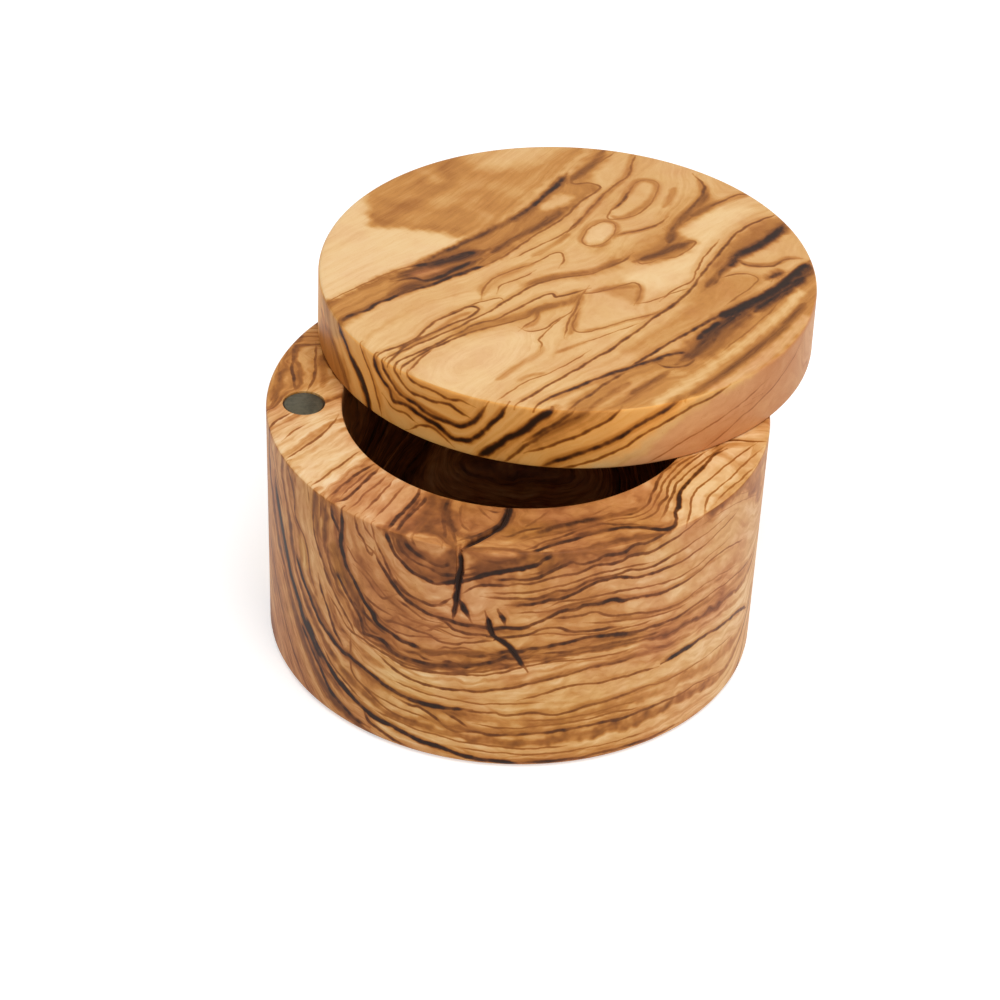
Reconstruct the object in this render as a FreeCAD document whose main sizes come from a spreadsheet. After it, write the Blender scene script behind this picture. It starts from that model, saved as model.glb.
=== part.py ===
import FreeCAD, Part
import os
import Sketcher

# Swivel-lid salt box, turned from two pieces of olive wood.
# A round body with a coved hollow carries a flat disc lid. The lid turns about a knurled steel
# pin, glued upright into the thick rim and hidden inside the lid. A pair of disc magnets holds
# it shut: one is let into the rim opposite the pin, the other into the underside of the lid.
#
# Frame: +Z up, origin at the centre of the foot, +X from the axis of the body towards the pin.
# Millimetres and degrees. The lid stands swung open by open_angle; shut, it covers the body.

SIZES = [
    # the turned body
    ("body_diameter", 100.0, "outside of the body at the rim"),
    ("foot_diameter", 98.4, "outside of the body at the foot, before its edge is broken"),
    ("body_height", 52.4, "foot to rim"),
    ("cavity_diameter", 70.0, "inside of the salt hollow"),
    ("cavity_depth", 43.0, "rim to the floor of the hollow"),
    ("cove_radius", 9.0, "cove between the wall and the floor of the hollow"),
    ("rim_edge_break", 0.5, "chamfer that breaks the inner and outer edge of the rim"),
    ("foot_edge_break", 1.4, "chamfer that breaks the edge of the foot"),
    # the turned lid
    ("lid_diameter", 101.0, "outside of the lid"),
    ("lid_thickness", 13.8, "thickness of the lid"),
    ("lid_top_edge_break", 0.6, "chamfer that breaks the upper edge of the lid"),
    ("lid_low_edge_break", 0.5, "chamfer that breaks the lower edge of the lid"),
    ("lid_gap", 0.1, "sliding clearance between the rim and the lid"),
    ("open_angle", 41.4, "how far the lid is swung open"),
    # the hidden pivot
    ("pin_diameter", 5.0, "outside of the pin"),
    ("pin_seat_depth", 22.0, "length of the pin inside the body"),
    ("pin_cover", 2.0, "wood left in the lid over the point of its pin bore"),
    ("pin_chamfer", 0.6, "chamfer at both ends of the pin"),
    ("pin_running_gap", 0.08, "radial clearance of the pin in the lid"),
    ("pin_end_gap", 0.6, "clearance over the top of the pin"),
    ("pin_glue_gap", 0.15, "glue round the pin"),
    ("pin_glue_floor", 0.3, "glue under the pin"),
    ("pin_glue_set_down", 1.2, "rim to the top of the glue"),
    ("bore_mouth_chamfer", 0.4, "countersink of both pin bores"),
    ("drill_point_angle", 118.0, "point of the twist drill that made both pin bores"),
    ("knurl_set_up", 2.0, "lower end of the pin to the start of its knurl"),
    ("knurl_set_down", 5.0, "end of the knurl below the rim"),
    ("knurl_depth", 0.28, "depth of one groove of the knurl"),
    ("knurl_width", 0.5, "width of one groove of the knurl"),
    ("knurl_count", 24, "grooves round the pin"),
    # the pair of magnets
    ("magnet_diameter", 8.0, "outside of a magnet"),
    ("magnet_thickness", 3.0, "thickness of a magnet"),
    ("magnet_edge_break", 0.2, "chamfer of both edges of a magnet"),
    ("magnet_recess", 0.15, "face of a magnet below the wood round it"),
    ("magnet_glue_gap", 0.22, "glue round a magnet"),
    ("magnet_glue_bed", 0.3, "glue under a magnet"),
    ("magnet_glue_set_down", 0.35, "face of a magnet to the top of its glue"),
]

COUNTERSINK_ANGLE = 90.0
SAME_PLACE = 0.001
FULL_TURN = 360.0
# A circle or groove is drawn at about this size, and its constraints then give it its true one.
ROUGH_RADIUS = 3.0
ROUGH_GROOVE = 0.3


def drill_point_height(bore_diameter):
    return f"{bore_diameter} / 2 / tan(Sizes.drill_point_angle / 2 * 1 deg)"


# The pin and both magnets stand in the middle of the rim's width.
RIM_MIDDLE = "(Sizes.body_diameter + Sizes.cavity_diameter) / 4"
LID_UNDERSIDE = "(Sizes.body_height + Sizes.lid_gap)"
PIN_FOOT = "(Sizes.body_height - Sizes.pin_seat_depth)"
PIN_BORE_IN_BODY = "(Sizes.pin_diameter + 2 * Sizes.pin_glue_gap)"
PIN_BORE_IN_LID = "(Sizes.pin_diameter + 2 * Sizes.pin_running_gap)"
PIN_BORE_IN_LID_DEPTH = (
    f"(Sizes.lid_thickness - Sizes.pin_cover - {drill_point_height(PIN_BORE_IN_LID)})"
)
PIN_REACH = f"(Sizes.lid_gap + {PIN_BORE_IN_LID_DEPTH} - Sizes.pin_end_gap)"
MAGNET_POCKET = "(Sizes.magnet_diameter + 2 * Sizes.magnet_glue_gap)"
MAGNET_SEAT_DEPTH = "(Sizes.magnet_recess + Sizes.magnet_thickness)"

doc = FreeCAD.newDocument("SwivelLidSaltBox")
sheet = doc.addObject("Spreadsheet::Sheet", "Sizes")
for row, (alias, value, meaning) in enumerate(SIZES, start=1):
    sheet.set(f"A{row}", meaning)
    sheet.set(f"B{row}", str(value))
    sheet.setAlias(f"B{row}", alias)
doc.recompute()


def size(alias):
    return float(getattr(sheet, alias))


# Sketches

def new_body(label):
    body = doc.addObject("PartDesign::Body", label)
    body.Label = label
    return body


def new_sketch(body, name, plane_role, height="0"):
    """A sketch on one of the body's own origin planes, lifted off it by a height."""
    sketch = body.newObject("Sketcher::SketchObject", name)
    plane = next(item for item in body.Origin.OriginFeatures if item.Role == plane_role)
    sketch.AttachmentSupport = [(plane, "")]
    sketch.MapMode = "FlatFace"
    sketch.setExpression("AttachmentOffset.Base.z", height)
    return sketch


def bind(sketch, constraint, name, expression):
    index = sketch.addConstraint(constraint)
    sketch.renameConstraint(index, name)
    sketch.setExpression(f"Constraints.{name}", expression)


def draw_outline(sketch, corners):
    """A closed outline of straight lines through corners, each one an expression across and one up."""
    loose = [FreeCAD.Vector(*rough, 0) for rough, across, up in corners]
    for start, end in zip(loose, loose[1:] + loose[:1]):
        sketch.addGeometry(Part.LineSegment(start, end), False)
    for line in range(len(corners)):
        following = (line + 1) % len(corners)
        sketch.addConstraint(Sketcher.Constraint("Coincident", line, 2, following, 1))
    for line, (rough, across, up) in enumerate(corners):
        if across == "0":
            sketch.addConstraint(Sketcher.Constraint("PointOnObject", line, 1, -2))
        else:
            distance = Sketcher.Constraint("DistanceX", -1, 1, line, 1, rough[0])
            bind(sketch, distance, f"across_{line}", across)
        if up == "0":
            sketch.addConstraint(Sketcher.Constraint("PointOnObject", line, 1, -1))
        else:
            distance = Sketcher.Constraint("DistanceY", -1, 1, line, 1, rough[1])
            bind(sketch, distance, f"up_{line}", up)


def draw_circle(sketch, diameter):
    """A circle about the sketch's origin."""
    upright = FreeCAD.Vector(0, 0, 1)
    sketch.addGeometry(Part.Circle(FreeCAD.Vector(), upright, ROUGH_RADIUS), False)
    sketch.addConstraint(Sketcher.Constraint("Coincident", 0, 3, -1, 1))
    bind(sketch, Sketcher.Constraint("Diameter", 0, 2 * ROUGH_RADIUS), "diameter", diameter)


def draw_circle_in_rim(sketch, diameter, towards_pin):
    """A circle on the X axis in the middle of the rim's width, on the pin's side or the magnet's."""
    rough = size("body_diameter") / 2
    centre = FreeCAD.Vector(rough if towards_pin else -rough, 0, 0)
    upright = FreeCAD.Vector(0, 0, 1)
    sketch.addGeometry(Part.Circle(centre, upright, ROUGH_RADIUS), False)
    sketch.addConstraint(Sketcher.Constraint("PointOnObject", 0, 3, -1))
    if towards_pin:
        distance = Sketcher.Constraint("DistanceX", -1, 1, 0, 3, rough)
    else:
        distance = Sketcher.Constraint("DistanceX", 0, 3, -1, 1, rough)
    bind(sketch, distance, "from_axis", RIM_MIDDLE)
    bind(sketch, Sketcher.Constraint("Diameter", 0, 2 * ROUGH_RADIUS), "diameter", diameter)


# Features

def turn(body, corners):
    """Turns an outline about the body's own upright axis, as on a lathe."""
    sketch = new_sketch(body, "turned_outline", "XZ_Plane")
    draw_outline(sketch, corners)
    doc.recompute()
    turned = body.newObject("PartDesign::Revolution", "turned_solid")
    turned.Profile = sketch
    turned.ReferenceAxis = (sketch, ["V_Axis"])
    turned.Angle = FULL_TURN
    doc.recompute()
    return turned


def pad_disc(body, diameter, height):
    sketch = new_sketch(body, "disc_outline", "XY_Plane")
    draw_circle(sketch, diameter)
    doc.recompute()
    pad = body.newObject("PartDesign::Pad", "disc")
    pad.Profile = sketch
    pad.setExpression("Length", height)
    doc.recompute()
    return pad


def ring_edges(shape, rings):
    """Names of the edges that run round the upright axis at each ring, a radius and a height."""
    names = []
    for number, edge in enumerate(shape.Edges, start=1):
        if not isinstance(edge.Curve, Part.Circle):
            continue
        centre = edge.Curve.Center
        for radius, height in rings:
            off_axis = max(abs(centre.x), abs(centre.y))
            off_ring = max(abs(edge.Curve.Radius - radius), abs(centre.z - height))
            if max(off_axis, off_ring) < SAME_PLACE:
                names.append(f"Edge{number}")
    return names


def round_off(body, name, radius, ring):
    """Rounds the edge of the body's last feature that runs round at a ring, a radius and a height."""
    last = body.Tip
    rounded = body.newObject("PartDesign::Fillet", name)
    rounded.Base = (last, ring_edges(last.Shape, [ring]))
    rounded.setExpression("Radius", radius)
    doc.recompute()


def break_edges(body, name, width, *rings):
    """Breaks the sharp edges of the body's last feature at each such ring with a small chamfer."""
    last = body.Tip
    broken = body.newObject("PartDesign::Chamfer", name)
    broken.Base = (last, ring_edges(last.Shape, rings))
    broken.setExpression("Size", width)
    doc.recompute()


def check_cut(before, feature):
    """Stops the build if a cut points away from the solid, and so takes nothing off it."""
    if not feature.Shape.Volume < before - SAME_PLACE:
        raise RuntimeError(f"{feature.Name} cuts nothing")


def drill_pin_bore(body, diameter, depth, height="0", upwards=False):
    """A blind bore in the rim as a twist drill leaves it, countersunk at its mouth."""
    before = body.Tip.Shape.Volume
    sketch = new_sketch(body, "pin_bore_centre", "XY_Plane", height)
    draw_circle_in_rim(sketch, diameter, towards_pin=True)
    doc.recompute()
    bore = body.newObject("PartDesign::Hole", "pin_bore")
    bore.Profile = sketch
    doc.recompute()
    bore.Reversed = upwards
    bore.DepthType = "Dimension"
    bore.DrillPoint = "Angled"
    bore.HoleCutType = "Countersink"
    bore.HoleCutCountersinkAngle = COUNTERSINK_ANGLE
    bore.setExpression("Diameter", diameter)
    bore.setExpression("Depth", depth)
    bore.setExpression("DrillPointAngle", "Sizes.drill_point_angle")
    bore.setExpression("HoleCutDiameter", f"{diameter} + 2 * Sizes.bore_mouth_chamfer")
    doc.recompute()
    check_cut(before, bore)
    return bore


def cut_magnet_pocket(body, height="0", upwards=False):
    """A flat-bottomed pocket in the rim, as a Forstner bit leaves it, opposite the pin."""
    before = body.Tip.Shape.Volume
    sketch = new_sketch(body, "magnet_pocket_outline", "XY_Plane", height)
    draw_circle_in_rim(sketch, MAGNET_POCKET, towards_pin=False)
    doc.recompute()
    pocket = body.newObject("PartDesign::Pocket", "magnet_pocket")
    pocket.Profile = sketch
    pocket.Type = "Length"
    pocket.Reversed = upwards
    pocket.setExpression("Length", f"{MAGNET_SEAT_DEPTH} + Sizes.magnet_glue_bed")
    doc.recompute()
    check_cut(before, pocket)
    return pocket


# Places

def place(item, from_pin, height, opened="0"):
    """Stands an item on the line from the pin through the middle of the body or of the lid.

    from_pin is its distance from the pin's axis, and opened the angle that the line is swung by.
    """
    item.setExpression("Placement.Base.x", f"{RIM_MIDDLE} - ({from_pin}) * cos({opened} * 1 deg)")
    item.setExpression("Placement.Base.y", f"({from_pin}) * sin({opened} * 1 deg)")
    item.setExpression("Placement.Base.z", height)
    item.setExpression("Placement.Rotation.Yaw", f"-{opened}")
    return item


# Turned pieces

def make_body():
    """The round body: tapered a little to its foot, and hollowed with a coved floor."""
    rim = size("body_diameter") / 2
    foot = size("foot_diameter") / 2
    wall = size("cavity_diameter") / 2
    top = size("body_height")
    floor = top - size("cavity_depth")
    body = new_body("body")
    turn(body, [
        ((0, 0), "0", "0"),
        ((foot, 0), "Sizes.foot_diameter / 2", "0"),
        ((rim, top), "Sizes.body_diameter / 2", "Sizes.body_height"),
        ((wall, top), "Sizes.cavity_diameter / 2", "Sizes.body_height"),
        ((wall, floor), "Sizes.cavity_diameter / 2", "Sizes.body_height - Sizes.cavity_depth"),
        ((0, floor), "0", "Sizes.body_height - Sizes.cavity_depth"),
    ])
    round_off(body, "cove", "Sizes.cove_radius", (wall, floor))
    break_edges(body, "eased_foot", "Sizes.foot_edge_break", (foot, 0))
    break_edges(body, "eased_rim", "Sizes.rim_edge_break", (wall, top), (rim, top))
    bore_depth = "Sizes.pin_seat_depth + Sizes.pin_glue_floor"
    drill_pin_bore(body, PIN_BORE_IN_BODY, bore_depth, "Sizes.body_height")
    cut_magnet_pocket(body, "Sizes.body_height")
    return place(body, RIM_MIDDLE, "0")


def make_lid():
    """The flat disc lid, bored for the pin and recessed for its magnet from below."""
    edge = size("lid_diameter") / 2
    top = size("lid_thickness")
    lid = new_body("lid")
    pad_disc(lid, "Sizes.lid_diameter", "Sizes.lid_thickness")
    break_edges(lid, "eased_top", "Sizes.lid_top_edge_break", (edge, top))
    break_edges(lid, "eased_underside", "Sizes.lid_low_edge_break", (edge, 0))
    drill_pin_bore(lid, PIN_BORE_IN_LID, PIN_BORE_IN_LID_DEPTH, upwards=True)
    cut_magnet_pocket(lid, upwards=True)
    return place(lid, RIM_MIDDLE, LID_UNDERSIDE, "Sizes.open_angle")


# The pivot

def make_pivot_pin():
    """A steel dowel pin: chamfered at both ends, with a straight knurl where it is glued in."""
    pin = new_body("pivot_pin")
    radius = size("pin_diameter") / 2
    dowel = pad_disc(pin, "Sizes.pin_diameter", f"Sizes.pin_seat_depth + {PIN_REACH}")
    break_edges(pin, "chamfered_ends", "Sizes.pin_chamfer", (radius, 0), (radius, dowel.Length.Value))

    # one V groove, cut upwards from the knurl's lower end and open towards +X
    before = pin.Tip.Shape.Volume
    sketch = new_sketch(pin, "knurl_groove_outline", "XY_Plane", "Sizes.knurl_set_up")
    root = FreeCAD.Vector(radius - ROUGH_GROOVE, 0, 0)
    left = FreeCAD.Vector(radius, ROUGH_GROOVE, 0)
    right = FreeCAD.Vector(radius, -ROUGH_GROOVE, 0)
    for start, end in ((root, left), (left, right), (right, root)):
        sketch.addGeometry(Part.LineSegment(start, end), False)
    sketch.addConstraint(Sketcher.Constraint("Coincident", 0, 2, 1, 1))
    sketch.addConstraint(Sketcher.Constraint("Coincident", 1, 2, 2, 1))
    sketch.addConstraint(Sketcher.Constraint("Coincident", 2, 2, 0, 1))
    sketch.addConstraint(Sketcher.Constraint("PointOnObject", 0, 1, -1))
    sketch.addConstraint(Sketcher.Constraint("Symmetric", 1, 1, 1, 2, -1))
    to_root = Sketcher.Constraint("DistanceX", -1, 1, 0, 1, root.x)
    bind(sketch, to_root, "to_root", "Sizes.pin_diameter / 2 - Sizes.knurl_depth")
    to_mouth = Sketcher.Constraint("DistanceX", -1, 1, 1, 1, left.x)
    bind(sketch, to_mouth, "to_mouth", "Sizes.pin_diameter / 2")
    across = Sketcher.Constraint("DistanceY", 1, 2, 1, 1, 2 * ROUGH_GROOVE)
    bind(sketch, across, "mouth_width", "Sizes.knurl_width")
    doc.recompute()
    groove = pin.newObject("PartDesign::Pocket", "knurl_groove")
    groove.Profile = sketch
    groove.Type = "Length"
    groove.Reversed = True
    length = "Sizes.pin_seat_depth - Sizes.knurl_set_up - Sizes.knurl_set_down"
    groove.setExpression("Length", length)
    doc.recompute()
    check_cut(before, groove)
    knurl = pin.newObject("PartDesign::PolarPattern", "knurl")
    knurl.Originals = [groove]
    knurl.Axis = (sketch, ["N_Axis"])
    knurl.Angle = FULL_TURN
    knurl.setExpression("Occurrences", "Sizes.knurl_count")
    pin.Tip = knurl
    doc.recompute()
    return place(pin, "0", PIN_FOOT)


def make_pivot_pin_glue(pin):
    """Epoxy that fills the bore round and under the pin, into the knurl and the drill point."""
    radius = f"{PIN_BORE_IN_BODY} / 2"
    point_height = drill_point_height(PIN_BORE_IN_BODY)
    shoulder = f"{PIN_FOOT} - Sizes.pin_glue_floor"
    sleeve = doc.addObject("Part::Cylinder", "pin_glue_sleeve")
    sleeve.setExpression("Radius", radius)
    sleeve.setExpression("Height", f"Sizes.body_height - Sizes.pin_glue_set_down - ({shoulder})")
    place(sleeve, "0", shoulder)
    point = doc.addObject("Part::Cone", "pin_glue_point")
    point.Radius1 = 0.0
    point.setExpression("Radius2", radius)
    point.setExpression("Height", point_height)
    place(point, "0", f"{shoulder} - {point_height}")
    filled_bore = doc.addObject("Part::Fuse", "pin_glue_filled_bore")
    filled_bore.Base = sleeve
    filled_bore.Tool = point
    glue = doc.addObject("Part::Cut", "pivot_pin_glue")
    glue.Label = "pivot_pin_glue"
    glue.Base = filled_bore
    glue.Tool = pin
    doc.recompute()
    return glue


# The magnets

def make_magnet(label, foot, opened="0"):
    """A nickel-plated disc magnet with broken edges, opposite the pin."""
    radius = size("magnet_diameter") / 2
    magnet = new_body(label)
    pad_disc(magnet, "Sizes.magnet_diameter", "Sizes.magnet_thickness")
    edges = ((radius, 0), (radius, size("magnet_thickness")))
    break_edges(magnet, "broken_edges", "Sizes.magnet_edge_break", *edges)
    return place(magnet, f"2 * ({RIM_MIDDLE})", foot, opened)


def make_magnet_glue(label, magnet, low, high, opened="0"):
    """Epoxy that beds the magnet in its pocket and stands as a thin ring round it."""
    fill = doc.addObject("Part::Cylinder", label + "_fill")
    fill.setExpression("Radius", f"{MAGNET_POCKET} / 2")
    fill.setExpression("Height", f"({high}) - ({low})")
    place(fill, f"2 * ({RIM_MIDDLE})", low, opened)
    glue = doc.addObject("Part::Cut", label)
    glue.Label = label
    glue.Base = fill
    glue.Tool = magnet
    doc.recompute()
    return glue


def make_rim_magnet():
    foot = f"Sizes.body_height - {MAGNET_SEAT_DEPTH}"
    face = "Sizes.body_height - Sizes.magnet_recess"
    bed = f"{foot} - Sizes.magnet_glue_bed"
    ring_top = f"{face} - Sizes.magnet_glue_set_down"
    magnet = make_magnet("rim_magnet", foot)
    glue = make_magnet_glue("rim_magnet_glue", magnet, bed, ring_top)
    return [magnet, glue]


def make_lid_magnet():
    face = f"{LID_UNDERSIDE} + Sizes.magnet_recess"
    bed = f"{LID_UNDERSIDE} + {MAGNET_SEAT_DEPTH} + Sizes.magnet_glue_bed"
    ring_foot = f"{face} + Sizes.magnet_glue_set_down"
    swung = "Sizes.open_angle"
    magnet = make_magnet("lid_magnet", face, swung)
    glue = make_magnet_glue("lid_magnet_glue", magnet, ring_foot, bed, swung)
    return [magnet, glue]


def check_document():
    """Stops the build at anything that failed to compute, which a recompute alone doesn't report."""
    for item in doc.Objects:
        if "Invalid" in item.State or "Error" in item.State:
            raise RuntimeError(f"{item.Name} failed: {item.State}")


def export(pieces):
    os.makedirs("parts", exist_ok=True)
    for piece in pieces:
        if piece.Shape.isNull() or not piece.Shape.isValid():
            raise RuntimeError(f"{piece.Label} has no valid shape")
    for piece in pieces:
        piece.Shape.exportStep(f"parts/{piece.Label}.step")
        solids = len(piece.Shape.Solids)
        print(f"{piece.Label}: {solids} solid, {piece.Shape.Volume:.1f} cubic mm")


turned_body = make_body()
turned_lid = make_lid()
pivot_pin = make_pivot_pin()
pivot_pin_glue = make_pivot_pin_glue(pivot_pin)
pieces = [turned_body, turned_lid, pivot_pin, pivot_pin_glue]
pieces += make_rim_magnet()
pieces += make_lid_magnet()
doc.recompute()
check_document()
export(pieces)
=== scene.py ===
import math

import bpy
import numpy as np
from mathutils import Matrix, Vector, kdtree


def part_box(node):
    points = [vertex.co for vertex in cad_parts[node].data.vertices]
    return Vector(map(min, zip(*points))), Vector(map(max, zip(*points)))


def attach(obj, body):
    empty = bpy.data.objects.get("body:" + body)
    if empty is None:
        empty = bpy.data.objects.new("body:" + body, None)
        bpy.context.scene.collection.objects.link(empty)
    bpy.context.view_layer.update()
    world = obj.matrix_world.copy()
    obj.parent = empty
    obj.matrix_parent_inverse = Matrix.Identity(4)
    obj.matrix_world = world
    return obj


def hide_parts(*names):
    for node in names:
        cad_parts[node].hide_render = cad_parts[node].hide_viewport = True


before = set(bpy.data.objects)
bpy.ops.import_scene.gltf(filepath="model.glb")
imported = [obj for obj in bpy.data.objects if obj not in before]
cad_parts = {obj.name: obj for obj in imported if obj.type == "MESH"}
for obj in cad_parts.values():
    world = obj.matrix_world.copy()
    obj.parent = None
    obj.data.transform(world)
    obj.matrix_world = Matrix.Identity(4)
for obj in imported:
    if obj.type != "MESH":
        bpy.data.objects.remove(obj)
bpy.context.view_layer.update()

# A swivel-lid salt box turned from olive wood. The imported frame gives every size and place.
# Lines and stains of the wood are drawn in millimetres: on a flat face as x and y, and on a
# turned side as the angle about its own axis, in degrees, and the height.

MM = 0.001
WORLD_UP = Vector((0, 0, 1))


def turned_size(node):
    """Axis, radius, lowest and highest point of a turned node."""
    low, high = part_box(node)
    middle = (low + high) / 2
    return Vector((middle.x, middle.y, 0)), (high.x - low.x) / 2, low.z, high.z


BODY_AXIS, BODY_RADIUS, FOOT_Z, RIM_Z = turned_size("body")
LID_AXIS, LID_RADIUS, LID_LOW_Z, LID_TOP_Z = turned_size("lid")
RIM_MAGNET_AXIS, MAGNET_RADIUS, RIM_MAGNET_LOW_Z, RIM_MAGNET_TOP_Z = turned_size("rim_magnet")
LID_MAGNET_AXIS, _, LID_MAGNET_LOW_Z, LID_MAGNET_TOP_Z = turned_size("lid_magnet")
RIM_GLUE_RADIUS, RIM_GLUE_LOW_Z = turned_size("rim_magnet_glue")[1:3]
LID_GLUE_TOP_Z = turned_size("lid_magnet_glue")[3]
PIN_AXIS, PIN_RADIUS, PIN_LOW_Z, PIN_TOP_Z = turned_size("pivot_pin")
PIN_GLUE_RADIUS, PIN_GLUE_LOW_Z = turned_size("pivot_pin_glue")[1:3]

FOOT_RADIUS = BODY_RADIUS - 0.8 * MM
HOLLOW_RADIUS = 35 * MM
HOLLOW_DEPTH = 43 * MM
COVE = 9 * MM
RIM_EASE = 0.5 * MM
FOOT_EASE = 1.5 * MM
LID_TOP_EASE = 0.75 * MM
LID_LOW_EASE = 0.5 * MM
MAGNET_EASE = 0.3 * MM
PIN_RUNNING_GAP = 0.08 * MM
PIN_END_GAP = 0.6 * MM

TURN_STEPS = 512
FINE = 0.75 * MM
MIDDLING = 1.3 * MM
COARSE = 2.6 * MM
MERGE = 0.0005 * MM


# Camera, floor and light

CAMERA_PLACE = Vector((-0.038864, -0.600376, 0.456928))
CAMERA_RIGHT = Vector((0.99878507, -0.03555035, 0.03412554))
CAMERA_UP = Vector((-0.0071562, 0.58052537, 0.81421071))
CAMERA_LENS = 131.58


def set_camera():
    """The photograph's viewpoint, from the outlines of the rim, lid, hollow and foot."""
    bpy.ops.object.camera_add(location=CAMERA_PLACE)
    camera = bpy.context.object
    back = CAMERA_RIGHT.cross(CAMERA_UP)
    turn = Matrix((CAMERA_RIGHT, CAMERA_UP, back)).transposed()
    camera.rotation_euler = turn.to_euler()
    camera.data.lens = CAMERA_LENS
    camera.data.sensor_width = 36
    camera.data.clip_start = 0.01
    camera.data.clip_end = 20
    bpy.context.scene.camera = camera


def clear_selection():
    bpy.ops.object.select_all(action="DESELECT")


def pick(piece):
    clear_selection()
    piece.select_set(True)
    bpy.context.view_layer.objects.active = piece


def node(tree, kind, settings=None, inputs=None):
    """Adds a node. Each input is a plain value or another node's output socket."""
    made = tree.nodes.new(kind)
    for name, value in (settings or {}).items():
        setattr(made, name, value)
    for name, value in (inputs or {}).items():
        if isinstance(value, bpy.types.NodeSocket):
            tree.links.new(value, made.inputs[name])
        else:
            made.inputs[name].default_value = value
    return made


def maths(tree, operation, first, second=0.0, third=0.0):
    inputs = {0: first, 1: second, 2: third}
    return node(tree, "ShaderNodeMath", {"operation": operation}, inputs).outputs[0]


def step(tree, value, low, high, out_low=0.0, out_high=1.0):
    """A smooth step from out_low, where value is low, to out_high, where it is high."""
    settings = {"interpolation_type": "SMOOTHSTEP"}
    inputs = {"Value": value, "From Min": low, "From Max": high, "To Min": out_low, "To Max": out_high}
    return node(tree, "ShaderNodeMapRange", settings, inputs).outputs[0]


def mix_colour(tree, factor, first, second, blend="MIX"):
    settings = {"data_type": "RGBA", "blend_type": blend}
    made = node(tree, "ShaderNodeMix", settings)
    for index, value in ((0, factor), (6, first), (7, second)):
        if isinstance(value, bpy.types.NodeSocket):
            tree.links.new(value, made.inputs[index])
        else:
            made.inputs[index].default_value = value
    return made.outputs[2]


def noise(tree, place, scale, detail=2.0, roughness=0.5, distortion=0.0):
    inputs = {"Vector": place, "Scale": scale, "Detail": detail, "Roughness": roughness,
              "Distortion": distortion}
    return node(tree, "ShaderNodeTexNoise", None, inputs).outputs[0]


def noise_along(tree, value, scale, detail=1.0):
    """One-dimensional noise, for what changes from ring to ring."""
    inputs = {"W": value, "Scale": scale, "Detail": detail}
    return node(tree, "ShaderNodeTexNoise", {"noise_dimensions": "1D"}, inputs).outputs[0]


def deepen(tree, shade, cover, depth):
    """Darkens a tone towards a depth, and never lightens it."""
    depth = maths(tree, "MAXIMUM", depth, shade)
    return node(tree, "ShaderNodeMix", None, {0: cover, 2: shade, 3: depth}).outputs[0]


def colour(red, green, blue):
    """A colour read off as 0 to 255, made linear."""
    def linear(value):
        value = value / 255
        return value / 12.92 if value < 0.04045 else ((value + 0.055) / 1.055) ** 2.4
    return (linear(red), linear(green), linear(blue), 1.0)


def ramp(tree, factor, stops):
    made = node(tree, "ShaderNodeValToRGB", None, {0: factor})
    band = made.color_ramp
    while len(band.elements) < len(stops):
        band.elements.new(0.5)
    for element, (place, shade) in zip(band.elements, stops):
        element.position = place
        element.color = shade
    return made.outputs[0]


def new_material(name):
    material = bpy.data.materials.new(name)
    material.use_nodes = True
    tree = material.node_tree
    return material, tree, tree.nodes["Principled BSDF"]


def set_stage():
    """A pale floor that looks white in the light and keeps a soft shadow."""
    clear_selection()
    bpy.ops.mesh.primitive_plane_add(size=6, location=(0, 0, FOOT_Z - 0.05 * MM))
    floor = bpy.context.object
    floor.name = "floor"
    bpy.ops.object.transform_apply()
    material, tree, shader = new_material("pale_floor")
    shader.inputs["Base Color"].default_value = (0.8, 0.8, 0.8, 1)
    shader.inputs["Roughness"].default_value = 0.9
    shader.inputs["Specular IOR Level"].default_value = 0.0
    shader.inputs["Emission Color"].default_value = (1, 1, 1, 1)
    rays = node(tree, "ShaderNodeLightPath")
    seen = maths(tree, "MAXIMUM", rays.outputs["Is Camera Ray"], rays.outputs["Is Glossy Ray"])
    lift = maths(tree, "MULTIPLY", seen, FLOOR_LIFT)
    tree.links.new(lift, shader.inputs["Emission Strength"])
    floor.data.materials.append(material)


FLOOR_LIFT = 0.5
WORLD_LEVEL = 0.55


def set_world():
    """White where it is seen or reflected, and softer where it lights the box."""
    world = bpy.data.worlds.new("studio")
    bpy.context.scene.world = world
    world.use_nodes = True
    tree = world.node_tree
    background = tree.nodes["Background"]
    background.inputs["Color"].default_value = (1, 1, 1, 1)
    rays = node(tree, "ShaderNodeLightPath")
    seen = maths(tree, "MAXIMUM", rays.outputs["Is Camera Ray"], rays.outputs["Is Glossy Ray"])
    seen = maths(tree, "MAXIMUM", seen, rays.outputs["Is Transmission Ray"])
    level = step(tree, seen, 0, 1, WORLD_LEVEL, 1.0)
    tree.links.new(level, background.inputs["Strength"])


def add_softbox(name, place, width, power):
    bpy.ops.object.light_add(type="AREA", location=place)
    lamp = bpy.context.object
    lamp.name = name
    lamp.data.shape = "DISK"
    lamp.data.size = width
    lamp.data.energy = power
    aim = Vector((0, 0, 0.04)) - Vector(place)
    lamp.rotation_euler = aim.to_track_quat("-Z", "Y").to_euler()


# Turning

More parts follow.
